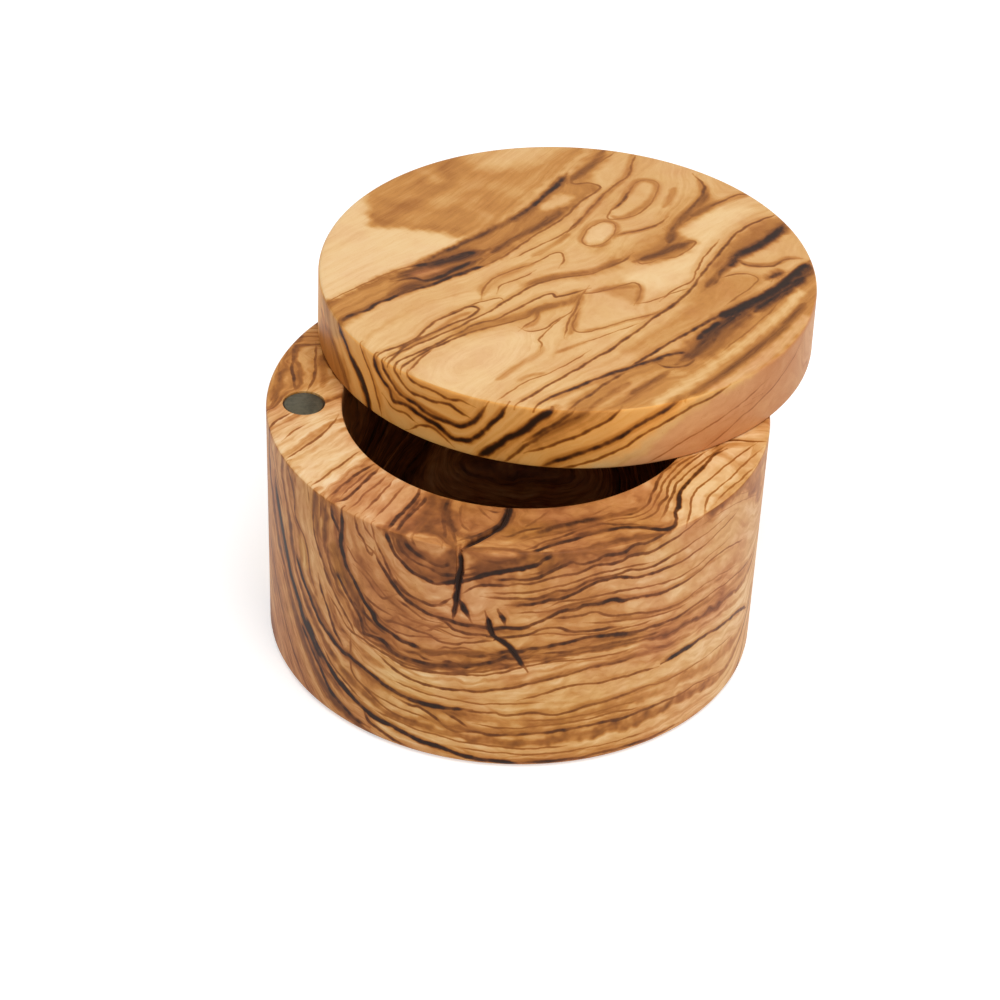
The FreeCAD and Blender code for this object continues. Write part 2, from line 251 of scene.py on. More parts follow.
def turn_on_axis(name, axis, corners, spacings, eases):
    """Turns a profile about an upright axis.

    corners are (radius, height) from the lower end of the axis round to its upper end. Each
    run between two corners is cut into pieces of its spacing, and eases rounds some corners.
    """
    clear_selection()
    start = Vector((corners[0][0], 0, corners[0][1]))
    bpy.ops.mesh.primitive_plane_add(size=COARSE, location=start)
    piece = bpy.context.object
    piece.name = name
    piece.data.name = name
    bpy.ops.object.transform_apply()
    bpy.ops.object.mode_set(mode="EDIT")
    bpy.ops.mesh.select_mode(type="VERT")
    bpy.ops.mesh.merge(type="CENTER")
    for before, after in zip(corners, corners[1:]):
        move = (after[0] - before[0], 0, after[1] - before[1])
        bpy.ops.mesh.extrude_region_move(TRANSFORM_OT_translate={"value": move})
    bpy.ops.object.mode_set(mode="OBJECT")
    for corner, (size, segments) in eases.items():
        round_corner(piece, corners[corner], size, segments)
    for before, after, spacing in zip(corners, corners[1:], spacings):
        divide_run(piece, before, after, spacing)
    lathe = piece.modifiers.new("lathe", "SCREW")
    lathe.steps = lathe.render_steps = TURN_STEPS
    lathe.use_merge_vertices = True
    lathe.merge_threshold = MERGE
    bpy.ops.object.modifier_apply(modifier=lathe.name)
    piece.location = axis
    bpy.ops.object.transform_apply()
    bpy.ops.object.mode_set(mode="EDIT")
    bpy.ops.mesh.select_all(action="SELECT")
    bpy.ops.mesh.remove_doubles(threshold=MERGE)
    bpy.ops.mesh.normals_make_consistent(inside=False)
    bpy.ops.object.mode_set(mode="OBJECT")
    return piece


def select_in_profile(piece, choose_vertex, choose_edge):
    """Selects vertices and edges of a profile by their place."""
    bpy.ops.object.mode_set(mode="EDIT")
    bpy.ops.mesh.select_all(action="DESELECT")
    bpy.ops.object.mode_set(mode="OBJECT")
    for vertex in piece.data.vertices:
        vertex.select = choose_vertex(vertex.co)
    for edge in piece.data.edges:
        first, second = (piece.data.vertices[i].co for i in edge.vertices)
        edge.select = choose_edge(first, second)
    bpy.ops.object.mode_set(mode="EDIT")


def round_corner(piece, corner, size, segments):
    place = Vector((corner[0], 0, corner[1]))
    bpy.ops.object.mode_set(mode="EDIT")
    bpy.ops.mesh.select_mode(type="VERT")
    select_in_profile(piece, lambda at: (at - place).length < 0.01 * MM, lambda a, b: False)
    bpy.ops.mesh.bevel(offset=size, offset_type="OFFSET", segments=segments, affect="VERTICES")
    bpy.ops.object.mode_set(mode="OBJECT")


def divide_run(piece, before, after, spacing):
    """Cuts the longest straight edge between two corners into steps of about spacing."""
    start = Vector((before[0], 0, before[1]))
    end = Vector((after[0], 0, after[1]))
    along = (end - start).normalized()

    def on_run(point):
        offset = point - start
        return (offset - along * offset.dot(along)).length < 0.001 * MM

    bpy.ops.object.mode_set(mode="EDIT")
    bpy.ops.mesh.select_mode(type="EDGE")
    longest = 0.0

    def is_run(first, second):
        return on_run(first) and on_run(second)

    for edge in piece.data.edges:
        first, second = (piece.data.vertices[i].co for i in edge.vertices)
        if is_run(first, second):
            longest = max(longest, (first - second).length)
    cuts = math.ceil(longest / spacing) - 1
    if cuts < 1:
        bpy.ops.object.mode_set(mode="OBJECT")
        return
    select_in_profile(
        piece, lambda at: False,
        lambda a, b: is_run(a, b) and (a - b).length > longest * 0.999)
    bpy.ops.mesh.subdivide(number_cuts=cuts)
    bpy.ops.object.mode_set(mode="OBJECT")


def cylinder(name, axis, radius, low, high, sides=96):
    clear_selection()
    place = (axis.x, axis.y, (low + high) / 2)
    bpy.ops.mesh.primitive_cylinder_add(vertices=sides, radius=radius, depth=high - low, location=place)
    made = bpy.context.object
    made.name = name
    bpy.ops.object.transform_apply()
    return made


def cut_away(piece, cutter):
    pick(piece)
    cut = piece.modifiers.new("cut", "BOOLEAN")
    cut.operation = "DIFFERENCE"
    cut.solver = "EXACT"
    cut.object = cutter
    bpy.ops.object.modifier_apply(modifier=cut.name)
    bpy.data.objects.remove(cutter)


CRACK_GAPE = 1.45


def open_crack(piece, name, points):
    """Cuts a crack along a path, as deep as it is wide there."""
    clear_selection()
    bpy.ops.curve.primitive_bezier_curve_add()
    blade = bpy.context.object
    blade.name = name
    path = blade.data
    path.splines.clear()
    spline = path.splines.new("POLY")
    spline.points.add(len(points) - 1)
    for point, (face, across, up, half_width) in zip(spline.points, points):
        place = face.wrap(face.flatten([(across, up)]))[0][0]
        point.co = (*place, 1)
        point.radius = half_width * CRACK_GAPE
    path.bevel_depth = 1 * MM
    path.bevel_resolution = 1
    path.use_fill_caps = True
    bpy.ops.object.convert(target="MESH")
    bpy.ops.object.mode_set(mode="EDIT")
    bpy.ops.mesh.select_all(action="SELECT")
    bpy.ops.mesh.remove_doubles(threshold=MERGE)
    bpy.ops.mesh.normals_make_consistent(inside=False)
    bpy.ops.object.mode_set(mode="OBJECT")
    cut_away(piece, blade)


def finish_turned(piece):
    """Closes the seams that a cut leaves and shades the piece."""
    pick(piece)
    bpy.ops.object.mode_set(mode="EDIT")
    bpy.ops.mesh.select_all(action="SELECT")
    bpy.ops.mesh.remove_doubles(threshold=0.002 * MM)
    bpy.ops.object.mode_set(mode="OBJECT")
    bpy.ops.object.shade_smooth_by_angle(angle=math.radians(32))


# The figure of the wood

LINE_STEP = 0.15 * MM
FAR = 3 * MM
CURVE_THINNING = 10
WOBBLE = 0.3
LINE_LAYERS = tuple("grain_line_" + letter for letter in "abcdef")
LINE_ROOM = 3 * MM
STREAK_LAYERS = tuple("grain_streak_" + letter for letter in "abc")
STREAK_ROOM = 4.5 * MM


def smooth_through(points, closed=False):
    """A smooth curve through given points, in steps of about LINE_STEP."""
    points = np.array(points, float)
    if closed:
        ends = np.vstack([points[-1], points, points[:2]])
    else:
        ends = np.vstack([2 * points[0] - points[1], points, 2 * points[-1] - points[-2]])
    made = []
    for a, b, c, d in zip(ends, ends[1:], ends[2:], ends[3:]):
        count = max(2, int(np.linalg.norm(c - b) * MM / LINE_STEP))
        t = np.linspace(0, 1, count, endpoint=False)[:, None]
        made.append(0.5 * (2 * b + (c - a) * t + (2 * a - 5 * b + 4 * c - d) * t ** 2
                           + (3 * b - a - 3 * c + d) * t ** 3))
    return np.vstack(made + ([] if closed else [points[-1:]]))


class Face:
    """A face of a turned piece that lines and stains are drawn on."""

    def __init__(self, axis, radius, top, on_side, faint_from=360):
        self.axis = np.array(axis[:2])
        self.radius = radius
        self.top = top
        self.on_side = on_side
        self.faint_from = faint_from

    def flatten(self, points):
        """Drawn points as plain millimetres across and up."""
        points = np.array(points, float)
        if self.on_side:
            points[:, 0] = np.radians(points[:, 0]) * self.radius / MM
        return points

    def wrap(self, flat):
        """Points in plain millimetres, put on the face, with the face's normals there."""
        if not self.on_side:
            z = np.full(len(flat), self.top)
            return np.column_stack([flat * MM, z]), np.tile((0.0, 0.0, 1.0), (len(flat), 1))
        turn = flat[:, 0] * MM / self.radius
        out = np.column_stack([np.cos(turn), np.sin(turn)])
        place = self.axis + out * self.radius
        normals = np.column_stack([out, np.zeros(len(flat))])
        return np.column_stack([place, flat[:, 1] * MM]), normals

    def boldness(self, flat):
        """How much of its ink a line keeps: on a side, less from a certain angle on."""
        if not self.on_side:
            return 1.0
        angle = np.degrees(flat[:, 0] * MM / self.radius)
        return 1 - 0.62 * ease((angle - self.faint_from) / 24)

    def unwrap(self, places):
        """Where places on the face fall in plain millimetres, and which of them are on it."""
        if not self.on_side:
            return places[:, :2] / MM, places[:, 2] > self.top - 0.9 * MM
        offset = places[:, :2] - self.axis
        turn = (np.degrees(np.arctan2(offset[:, 1], offset[:, 0])) - 90) % 360 + 90
        out = np.hypot(offset[:, 0], offset[:, 1])
        flat = np.column_stack([np.radians(turn) * self.radius, places[:, 2]]) / MM
        return flat, (out > self.radius - 1.6 * MM) & (places[:, 2] < self.top - 0.3 * MM)


def lay_lines(lines):
    """Every drawn line as places, sideways vectors and ink, end to end, with its number."""
    places, sideways, inks, numbers = [], [], [], []
    for number, (face, ink, points) in enumerate(lines):
        flat = face.flatten(points)
        closed = points[0] == points[-1]
        curve = smooth_through(flat[:-1] if closed else flat, closed)
        place, normals = face.wrap(curve)
        along = np.gradient(place, axis=0)
        across = np.cross(normals, along)
        across /= np.linalg.norm(across, axis=1)[:, None] + 1e-12
        run = np.arange(len(place)) * LINE_STEP
        to_end = np.minimum(run, run[::-1])
        fade = 1.0 if closed else np.clip(to_end / (2.5 * MM) + 0.25, 0, 1)
        places.append(place)
        sideways.append(across)
        inks.append(ink * fade * face.boldness(curve) * np.ones(len(place)))
        numbers.append(np.full(len(place), number))
    return np.vstack(places), np.vstack(sideways), np.concatenate(inks), np.concatenate(numbers)


def sort_into_layers(places, numbers, layer_count, wanted_room):
    """Puts lines that run close together in different layers, so that each stays sharp."""
    layers = [[] for _ in range(layer_count)]
    layer_of = {}
    for number in sorted(set(numbers)):
        own = places[numbers == number][::6]
        room = []
        for layer in layers:
            taken = np.vstack(layer) if layer else np.full((1, 3), 9.0)
            room.append(np.linalg.norm(own[:, None] - taken[None], axis=2).min())
        free = [index for index, gap in enumerate(room) if gap > wanted_room]
        chosen = free[0] if free else int(np.argmax(room))
        layers[chosen].append(own)
        layer_of[number] = chosen
    return np.array([layer_of[number] for number in numbers])


def nearest_line(vertices, places, sideways, inks):
    """For each vertex: how far to the left of the nearest line, how far from it, and its ink."""
    if not len(places):
        return np.tile((FAR / MM, FAR / MM, 0.0), (len(vertices), 1))
    tree = kdtree.KDTree(len(places))
    for index, place in enumerate(places):
        tree.insert(place, index)
    tree.balance()
    found = np.array([tree.find(place)[1] for place in vertices])
    offset = vertices - places[found]
    side = (offset * sideways[found]).sum(1)
    near = np.linalg.norm(offset, axis=1)
    return np.column_stack([np.clip(side, -FAR, FAR) / MM, np.minimum(near, FAR) / MM, inks[found]])


def growth_field(vertices, places, numbers, rough_rings):
    """Growth rings as a smooth field, in millimetres, that each drawn line follows.

    The field is the rough rings bent by a smooth spline until it is constant along each line.
    """
    keep = np.arange(0, len(places), GROWTH_STRIDE)
    knots = places[keep] / MM
    owner = numbers[keep]
    lines = sorted(set(owner))
    member = (owner[:, None] == np.array(lines)[None, :]).astype(float)
    distance = np.linalg.norm(knots[:, None] - knots[None], axis=2)
    size = len(knots)
    system = np.zeros((size + len(lines), size + len(lines)))
    system[:size, :size] = GROWTH_SLACK * np.eye(size) - distance
    system[:size, size:] = -member
    system[size:, :size] = member.T
    wanted = np.concatenate([-rough_rings(knots), np.zeros(len(lines))])
    weights = np.linalg.solve(system, wanted)[:size]
    field = rough_rings(vertices / MM)
    for start in range(0, len(vertices), 4000):
        some = vertices[start:start + 4000] / MM
        gaps = np.linalg.norm(some[:, None] - knots[None], axis=2)
        field[start:start + 4000] -= gaps @ weights
    return field


GROWTH_STRIDE = 26
GROWTH_SLACK = 1.0


def distance_to_outline(flat, outline):
    """Signed distance in millimetres to a closed outline, negative inside."""
    inside = np.zeros(len(flat), bool)
    for start, end in zip(outline, np.roll(outline, -1, axis=0)):
        crosses = (start[1] > flat[:, 1]) != (end[1] > flat[:, 1])
        rise = end[1] - start[1]
        if rise != 0:
            meet = start[0] + (flat[:, 1] - start[1]) / rise * (end[0] - start[0])
            inside ^= crosses & (flat[:, 0] < meet)
    away = distance_to_stroke(flat, np.vstack([outline, outline[:1]]))
    return np.where(inside, -away, away)


def ease(value):
    value = np.clip(value, 0, 1)
    return value * value * (3 - 2 * value)


def wobble(flat):
    """Small bends in millimetres, so that no stain has a drawn edge."""
    x, y = flat[:, 0], flat[:, 1]
    bend_x = np.sin(1.31 * y + 0.7 * x + 1.3) + 0.6 * np.sin(2.9 * y - 1.7 * x + 0.4)
    bend_y = np.sin(1.17 * x - 0.9 * y + 2.1) + 0.6 * np.sin(2.6 * x + 1.9 * y + 4.0)
    return WOBBLE * np.column_stack([bend_x, bend_y])


def stain(vertices, stains, tone, warmth):
    """Lays stains over one another.

    Tone runs from pale, 0, to nearly black, 1. Warmth runs from honey, -1, past gold to rose, 1.
    """
    tones = np.full(len(vertices), float(tone))
    warmths = np.full(len(vertices), float(warmth))
    for face, kind, new_tone, new_warmth, soft, points in stains:
        flat, on_face = face.unwrap(vertices)
        flat = flat + wobble(flat)
        drawn = face.flatten(points)
        curve = smooth_through(drawn, closed=kind == "patch")[::CURVE_THINNING]
        reach = soft + (0 if kind == "patch" else kind)
        in_reach = ((flat > curve.min(0) - reach) & (flat < curve.max(0) + reach)).all(1)
        which = np.flatnonzero(on_face & in_reach)
        if kind == "patch":
            away = distance_to_outline(flat[which], curve)
        else:
            away = distance_to_stroke(flat[which], curve) - kind
        cover = ease(0.5 - away / (2 * soft))
        tones[which] += (new_tone - tones[which]) * cover
        warmths[which] += (new_warmth - warmths[which]) * cover
    return tones, warmths


def distance_to_stroke(flat, curve):
    nearest = np.full(len(flat), 1e9)
    for start, end in zip(curve, curve[1:]):
        edge = end - start
        offset = flat - start
        t = np.clip((offset @ edge) / (edge @ edge), 0, 1)
        nearest = np.minimum(nearest, np.linalg.norm(offset - t[:, None] * edge, axis=1))
    return nearest


def give_attribute(piece, name, kind, values):
    attribute = piece.data.attributes.new(name, kind, "POINT")
    key = "value" if kind == "FLOAT" else "vector"
    attribute.data.foreach_set(key, np.ascontiguousarray(values, np.float32).ravel())


def give_lines(piece, vertices, lines, names, room):
    """Puts drawn lines on a piece, a layer of them in each named attribute."""
    places, sideways, inks, numbers = lay_lines(lines)
    layers = sort_into_layers(places, numbers, len(names), room)
    for index, name in enumerate(names):
        own = layers == index
        give_attribute(piece, name, "FLOAT_VECTOR",
                       nearest_line(vertices, places[own], sideways[own], inks[own]))
    return places, numbers


def draw_figure(piece, lines, streaks, stains, tone, warmth, rough_rings, seen, painted_shade=None):
    """Puts the drawn lines, the streaks, the stains, any painted shade and the growth rings on a turned piece."""
    count = len(piece.data.vertices)
    vertices = np.zeros(count * 3)
    piece.data.vertices.foreach_get("co", vertices)
    vertices = vertices.reshape(-1, 3)
    places, numbers = give_lines(piece, vertices, lines, LINE_LAYERS, LINE_ROOM)
    give_lines(piece, vertices, streaks, STREAK_LAYERS, STREAK_ROOM)
    tones, warmths = stain(vertices, stains, tone, warmth)
    # painted shade, where given, darkens the tones to stand in for shadow that falls there
    if painted_shade:
        tones = np.maximum(tones, painted_shade(vertices))
    give_attribute(piece, "stain_and_painted_shade", "FLOAT_VECTOR", np.column_stack([tones, warmths, seen(vertices)]))
    give_attribute(piece, "grain_ring", "FLOAT", growth_field(vertices, places, numbers, rough_rings))


def angles_about(axis, vertices):
    offset = vertices[:, :2] - np.array(axis[:2])
    return (np.degrees(np.arctan2(offset[:, 1], offset[:, 0])) - 90) % 360 + 90


def band(value, low, high, fade):
    """1 from low to high, fading to 0 outside."""
    return ease(np.minimum(value - low, high - value) / fade + 1)


# Lines and stains of the lid

LID_TOP = Face(LID_AXIS, LID_RADIUS, LID_TOP_Z, False)
LID_SIDE = Face(LID_AXIS, LID_RADIUS, LID_TOP_Z, True)

LID_TOP_LINES = (
    # edges of the dark band
    (0.35, ((-38.3, 15.3), (-32, 21), (-25, 27), (-20, 30), (-12, 37.5), (-5, 43.4))),
    (1.0, ((-35.3, 7.5), (-34, 10), (-30, 12.5), (-28, 15), (-24, 18), (-20, 20.5), (-12, 26),
            (-6, 29.8))),
    (0.5, ((-6, 29.8), (-2, 33.5), (5, 42), (10, 48), (15, 56), (18, 59.5), (19, 61.5),
           (17, 63), (14, 62.5), (13, 63.5), (15, 66.5), (17, 69.5), (20, 72.5), (23, 76))),
    (1.2, ((-21.5, 28.7), (-17.5, 30.3), (-14, 32), (-10, 34.3), (-7, 34.2))),
    (1.0, ((-24.5, 23.5), (-21, 24.7), (-18.5, 23.8), (-15, 25.6), (-11, 29.3), (-8.5, 32))),
    (0.5, ((-8, 29.5), (-5, 33.5), (0, 39), (5, 45.5), (8, 50.5))),
    (1.1, ((-1, 46.8), (1.8, 49.8), (4.4, 53.2), (7.4, 57.8), (9.8, 61.7), (12, 65.8))),
    # hairpin and the lines inside it
    (0.65, ((-28.5, -4), (-26, -1.8), (-23, 0.2), (-20.5, 2.5), (-19, 5), (-17, 8), (-15, 10),
            (-12.5, 12), (-10.5, 13.8), (-9, 14.3), (-7.9, 13.3), (-8.7, 11.8), (-10.5, 10), (-13, 8),
            (-16, 5.4), (-19, 3), (-21.5, 0.7), (-23.5, -2), (-25.2, -4.8), (-26.3, -6.6))),
    (0.55, ((-26.9, -5.4), (-25, -3.4), (-22, -0.9), (-18, 2), (-14, 5.3), (-11, 7.7), (-8, 10.4),
            (-5, 13.3), (-3, 15.6), (-1, 18), (2, 21), (5, 23.3), (8, 25), (13, 26.3), (16, 27.3),
            (22, 32), (24, 34.5))),
    (0.35, ((-15, 10.5), (-12, 13), (-9, 15), (-6, 16.7), (-3.5, 17.5), (-2.8, 16.3))),
    (0.6, ((-24.8, -8.2), (-24, -6), (-21, -3.4), (-17.5, -0.3), (-14, 3), (-11, 5.7), (-9.5, 7.2),
           (-5, 9.4), (-2, 12), (0.5, 14.5), (3, 16.7), (5, 18.5), (7, 19.3), (7.6, 18.1), (9, 18.5),
           (14, 21))),
    (0.6, ((-23.7, -9.2), (-22.5, -7), (-20, -3.8), (-17.5, -1), (-15, 0.9), (-12, 3.3), (-9, 5.4),
           (-4, 7.5), (-1, 9), (2, 11), (3, 13.5), (5, 15))),
    (0.45, ((-22.3, -9.8), (-20.8, -7), (-19.2, -4), (-17.5, -1.6))),
    (0.4, ((-7.3, 18), (-7, 20.5), (-6, 23), (-4.5, 25), (-2, 27), (0, 28.5), (3, 30))),
    (0.4, ((-4, 20), (-3.5, 22), (-1, 24), (2, 26), (3.5, 27.5))),
    # faint lines and cells in the pale middle
    (0.3, ((4, -1), (4.2, 1), (3.4, 2.5), (5, 5), (6.5, 7.5), (10, 12), (11, 14))),
    (0.5, ((0.4, 6.1), (1.2, 5.4), (3, 5.5), (5, 6.5), (6.2, 8), (9, 11))),
    (0.45, ((0.4, 6.1), (1.3, 7.6), (3.3, 9.8), (3.9, 12), (3.6, 13.7), (5, 15.3))),
    (0.3, ((-5.5, -19.2), (-3, -16.3), (0, -13), (3, -10.8), (7, -8), (10, -5), (13, -2))),
    (0.4, ((12, 19), (16, 20), (20, 22), (24, 23.8), (24.9, 22), (24.4, 18.5), (23.6, 16))),
    (0.3, ((23.6, 16), (26, 16.5), (30, 19), (35, 22))),
    (0.4, ((8.8, 4), (9.2, 7), (10.6, 11), (11.6, 14), (13, 18.5), (14.3, 21.5))),
    (0.35, ((12, 13), (11, 10), (10.5, 7.5), (11.3, 5.4), (14, 5.5), (17, 7.3), (20, 9), (24, 10.7),
            (28, 12.3))),
    (0.25, ((12, 1), (16, 3.5), (20, 6.3), (24, 8.8))),
    # long lines from the front edge to the right
    (0.7, ((-2, -20.7), (5, -13.5), (12, -6.5), (18, -0.5), (22, 4.5), (26, 9.3), (29, 13), (33, 18),
           (35.5, 22.3), (37.5, 26.5), (40, 31.5), (42.5, 36.5), (46, 43), (49, 46.5), (52, 49),
           (55, 50.7))),
    (1.0, ((1.5, -21.5), (5, -18), (10, -14.5), (15, -11), (20, -8), (25, -5), (29, -2.6), (31.5, -1.7),
           (33.5, -2.3))),
    (0.8, ((21, -7), (25, -3), (28, 0.3), (32, 4.2), (35, 7), (38, 9.8), (42, 13.2))),
    (1.9, ((39.6, 11.0), (41.5, 12.8), (44, 14.8), (48, 17.8), (52, 21.7), (56, 26.5), (60, 32))),
    (0.8, ((26.3, -5.6), (28, -7), (30.8, -6.9), (33, -5.6), (34.2, -3.2))),
    (0.65, ((8, -22), (12, -17.5), (17, -12), (20, -9))),
    (0.5, ((35, -2), (38, 3), (41, 8), (43, 10.5))),
    (0.45, ((31.5, -17.5), (35, -13.5), (40, -8.5), (44, -4), (48, 1), (52, 6.5), (56, 13))),
    (0.35, ((18, -20.5), (24, -14), (29, -8.5))),
    (0.35, ((40, -1), (44, 4.5), (48, 10), (52, 16), (55, 21))),
    # eye, loop and the knots on the right
    (0.3, ((14.2, 40), (15, 43.5), (17, 46), (19.5, 47.5), (21.2, 46.5), (21, 43.5), (20, 40.5),
           (17.5, 38.2), (15, 38), (14.2, 40))),
    (0.55, ((21.3, 42.2), (24, 43), (27, 44.5), (30, 46.5), (32, 49))),
    (0.32, ((20.5, 51.5), (22, 53.5), (24, 56), (26, 62), (27.5, 64), (30, 64.5), (31.3, 63),
           (31, 60), (29.3, 55), (27, 51.8), (25, 49.7), (22, 48.5), (20, 48.7), (20.5, 51.5))),
    (0.8, ((21, 52), (22.5, 54), (24, 57), (25.5, 60.5))),
    (0.5, ((27.5, 75), (26.5, 71), (25, 66), (22, 62), (19, 57), (16, 51.5), (13.5, 46.5), (11, 42.5))),
    (0.35, ((3, 30), (7, 34), (9.5, 35), (9.8, 32), (9, 30))),
    (0.35, ((0, 33), (5, 37.5), (10, 42), (14, 47))),
    (0.55, ((35, 46.5), (37.5, 50), (41, 53.5), (45, 56.5), (48, 59), (50.5, 59))),
    (0.7, ((32.5, 42), (33, 45), (35, 49), (37, 52.3), (39, 55.5), (40.5, 59), (41, 62.5), (39.5, 66.5))),
    (0.35, ((24.5, 33.5), (26, 31), (30, 33), (33.5, 34.2), (36, 37), (37.5, 39.7), (35.5, 40),
           (33.5, 38.5))),
    (0.4, ((32, 44), (33.4, 42.6), (32.4, 41))),
    (1.5, ((45.5, 35), (48.5, 37.3), (51, 39.2), (53.3, 42), (56, 46.5))),
    (1.3, ((34.5, 2), (37, 6), (40.5, 9.8))),
    (0.4, ((29, 17.5), (32, 21.5), (35.5, 24.5), (37, 29), (39, 34.5), (42, 40))),
    (0.7, ((37, 0), (39.5, 5), (43, 10))),
    (0.7, ((45.3, 33), (43.6, 30.8), (42, 28.3), (41, 25.5), (38.5, 22))),
    (0.6, ((45.3, 33), (47, 31.2), (50, 30.3), (53, 31), (55, 33.2), (58, 33.5))),
    (0.6, ((45, 33.3), (46.3, 36), (48, 37.2))),
    (0.4, ((41.5, 26), (44, 27.3), (47.5, 27.4), (49.2, 25.5), (47.5, 22.8), (45, 19.5), (42, 16))),
    (0.5, ((52, 25.5), (53.2, 27.6), (55, 28.2))),
)

LID_SIDE_LINES = (
    (1.2, ((202.5, 66.3), (204, 65), (206, 64), (208, 63), (210, 61.3), (212.5, 60))),
    (2.4, ((208.5, 62), (211, 60.5), (213, 59.3), (215, 57), (216.6, 54.5), (217.3, 52.3), (217.6, 50.5))),
    (0.55, ((213, 66.3), (215.5, 63.5), (218, 60.5), (220, 57), (221.4, 53))),
    (1.1, ((218.5, 66.3), (219, 64), (220.5, 62.4), (222.3, 61.2), (224, 60.3), (225, 58.3),
           (228, 58.8), (231, 58.3), (234, 57.8), (238, 57), (240.5, 55.6), (242.5, 55.3), (245, 55.8),
           (247, 57.2), (248.5, 58.8), (250.3, 61), (252.3, 63.3), (254, 66.3))),
    (1.0, ((221, 66.3), (222, 64.5), (224, 63), (226, 61.3), (229, 60.3), (232, 60), (236, 58.8),
           (240, 58.7), (243, 58.4), (246, 60.3), (248, 63), (249, 65))),
    (0.75, ((224.5, 66.3), (226, 64.6), (228.5, 63), (232, 62.4), (236, 62.3), (240, 62.8), (243, 61.8),
            (245, 61.3))),
    (0.65, ((228, 66.3), (230, 65.2), (233, 64.7), (237, 64.8), (240, 64), (243, 64.6), (245.5, 64.2))),
    (0.5, ((222.5, 58), (225, 56.6), (229, 56.8), (232, 55.7))),
    (0.6, ((230, 53.5), (233, 55.4), (236, 56.3), (239, 55.3), (241, 54))),
    (1.9, ((247.5, 52.5), (250, 54.7), (252, 56.3), (254.5, 58.4), (257, 60.3), (259, 62.2), (261.5, 64.3),
           (264, 66.3))),
    (0.7, ((253.5, 52.7), (258, 57), (262, 60.3), (267, 63.5), (272, 66.3))),
    (0.8, ((258.5, 58.6), (262, 61.2), (265, 63.2), (268.5, 66.3))),
    (0.95, ((262, 52.8), (268, 55.4), (275, 58), (281, 61), (287, 64), (292, 66))),
    (0.6, ((266, 52.5), (273, 54.5), (280, 57.3), (286, 60.5), (294, 63.5), (305, 65.8))),
    (0.7, ((259, 56), (265, 58.5), (270, 60.6), (275, 63.3), (279, 66))),
    (0.3, ((300, 53), (310, 57), (322, 60), (335, 64))),
    (0.3, ((286, 53), (296, 57), (306, 59.5), (318, 62.5))),
)

LID_LINES = ([(LID_TOP, ink, points) for ink, points in LID_TOP_LINES]
             + [(LID_SIDE, ink, points) for ink, points in LID_SIDE_LINES])

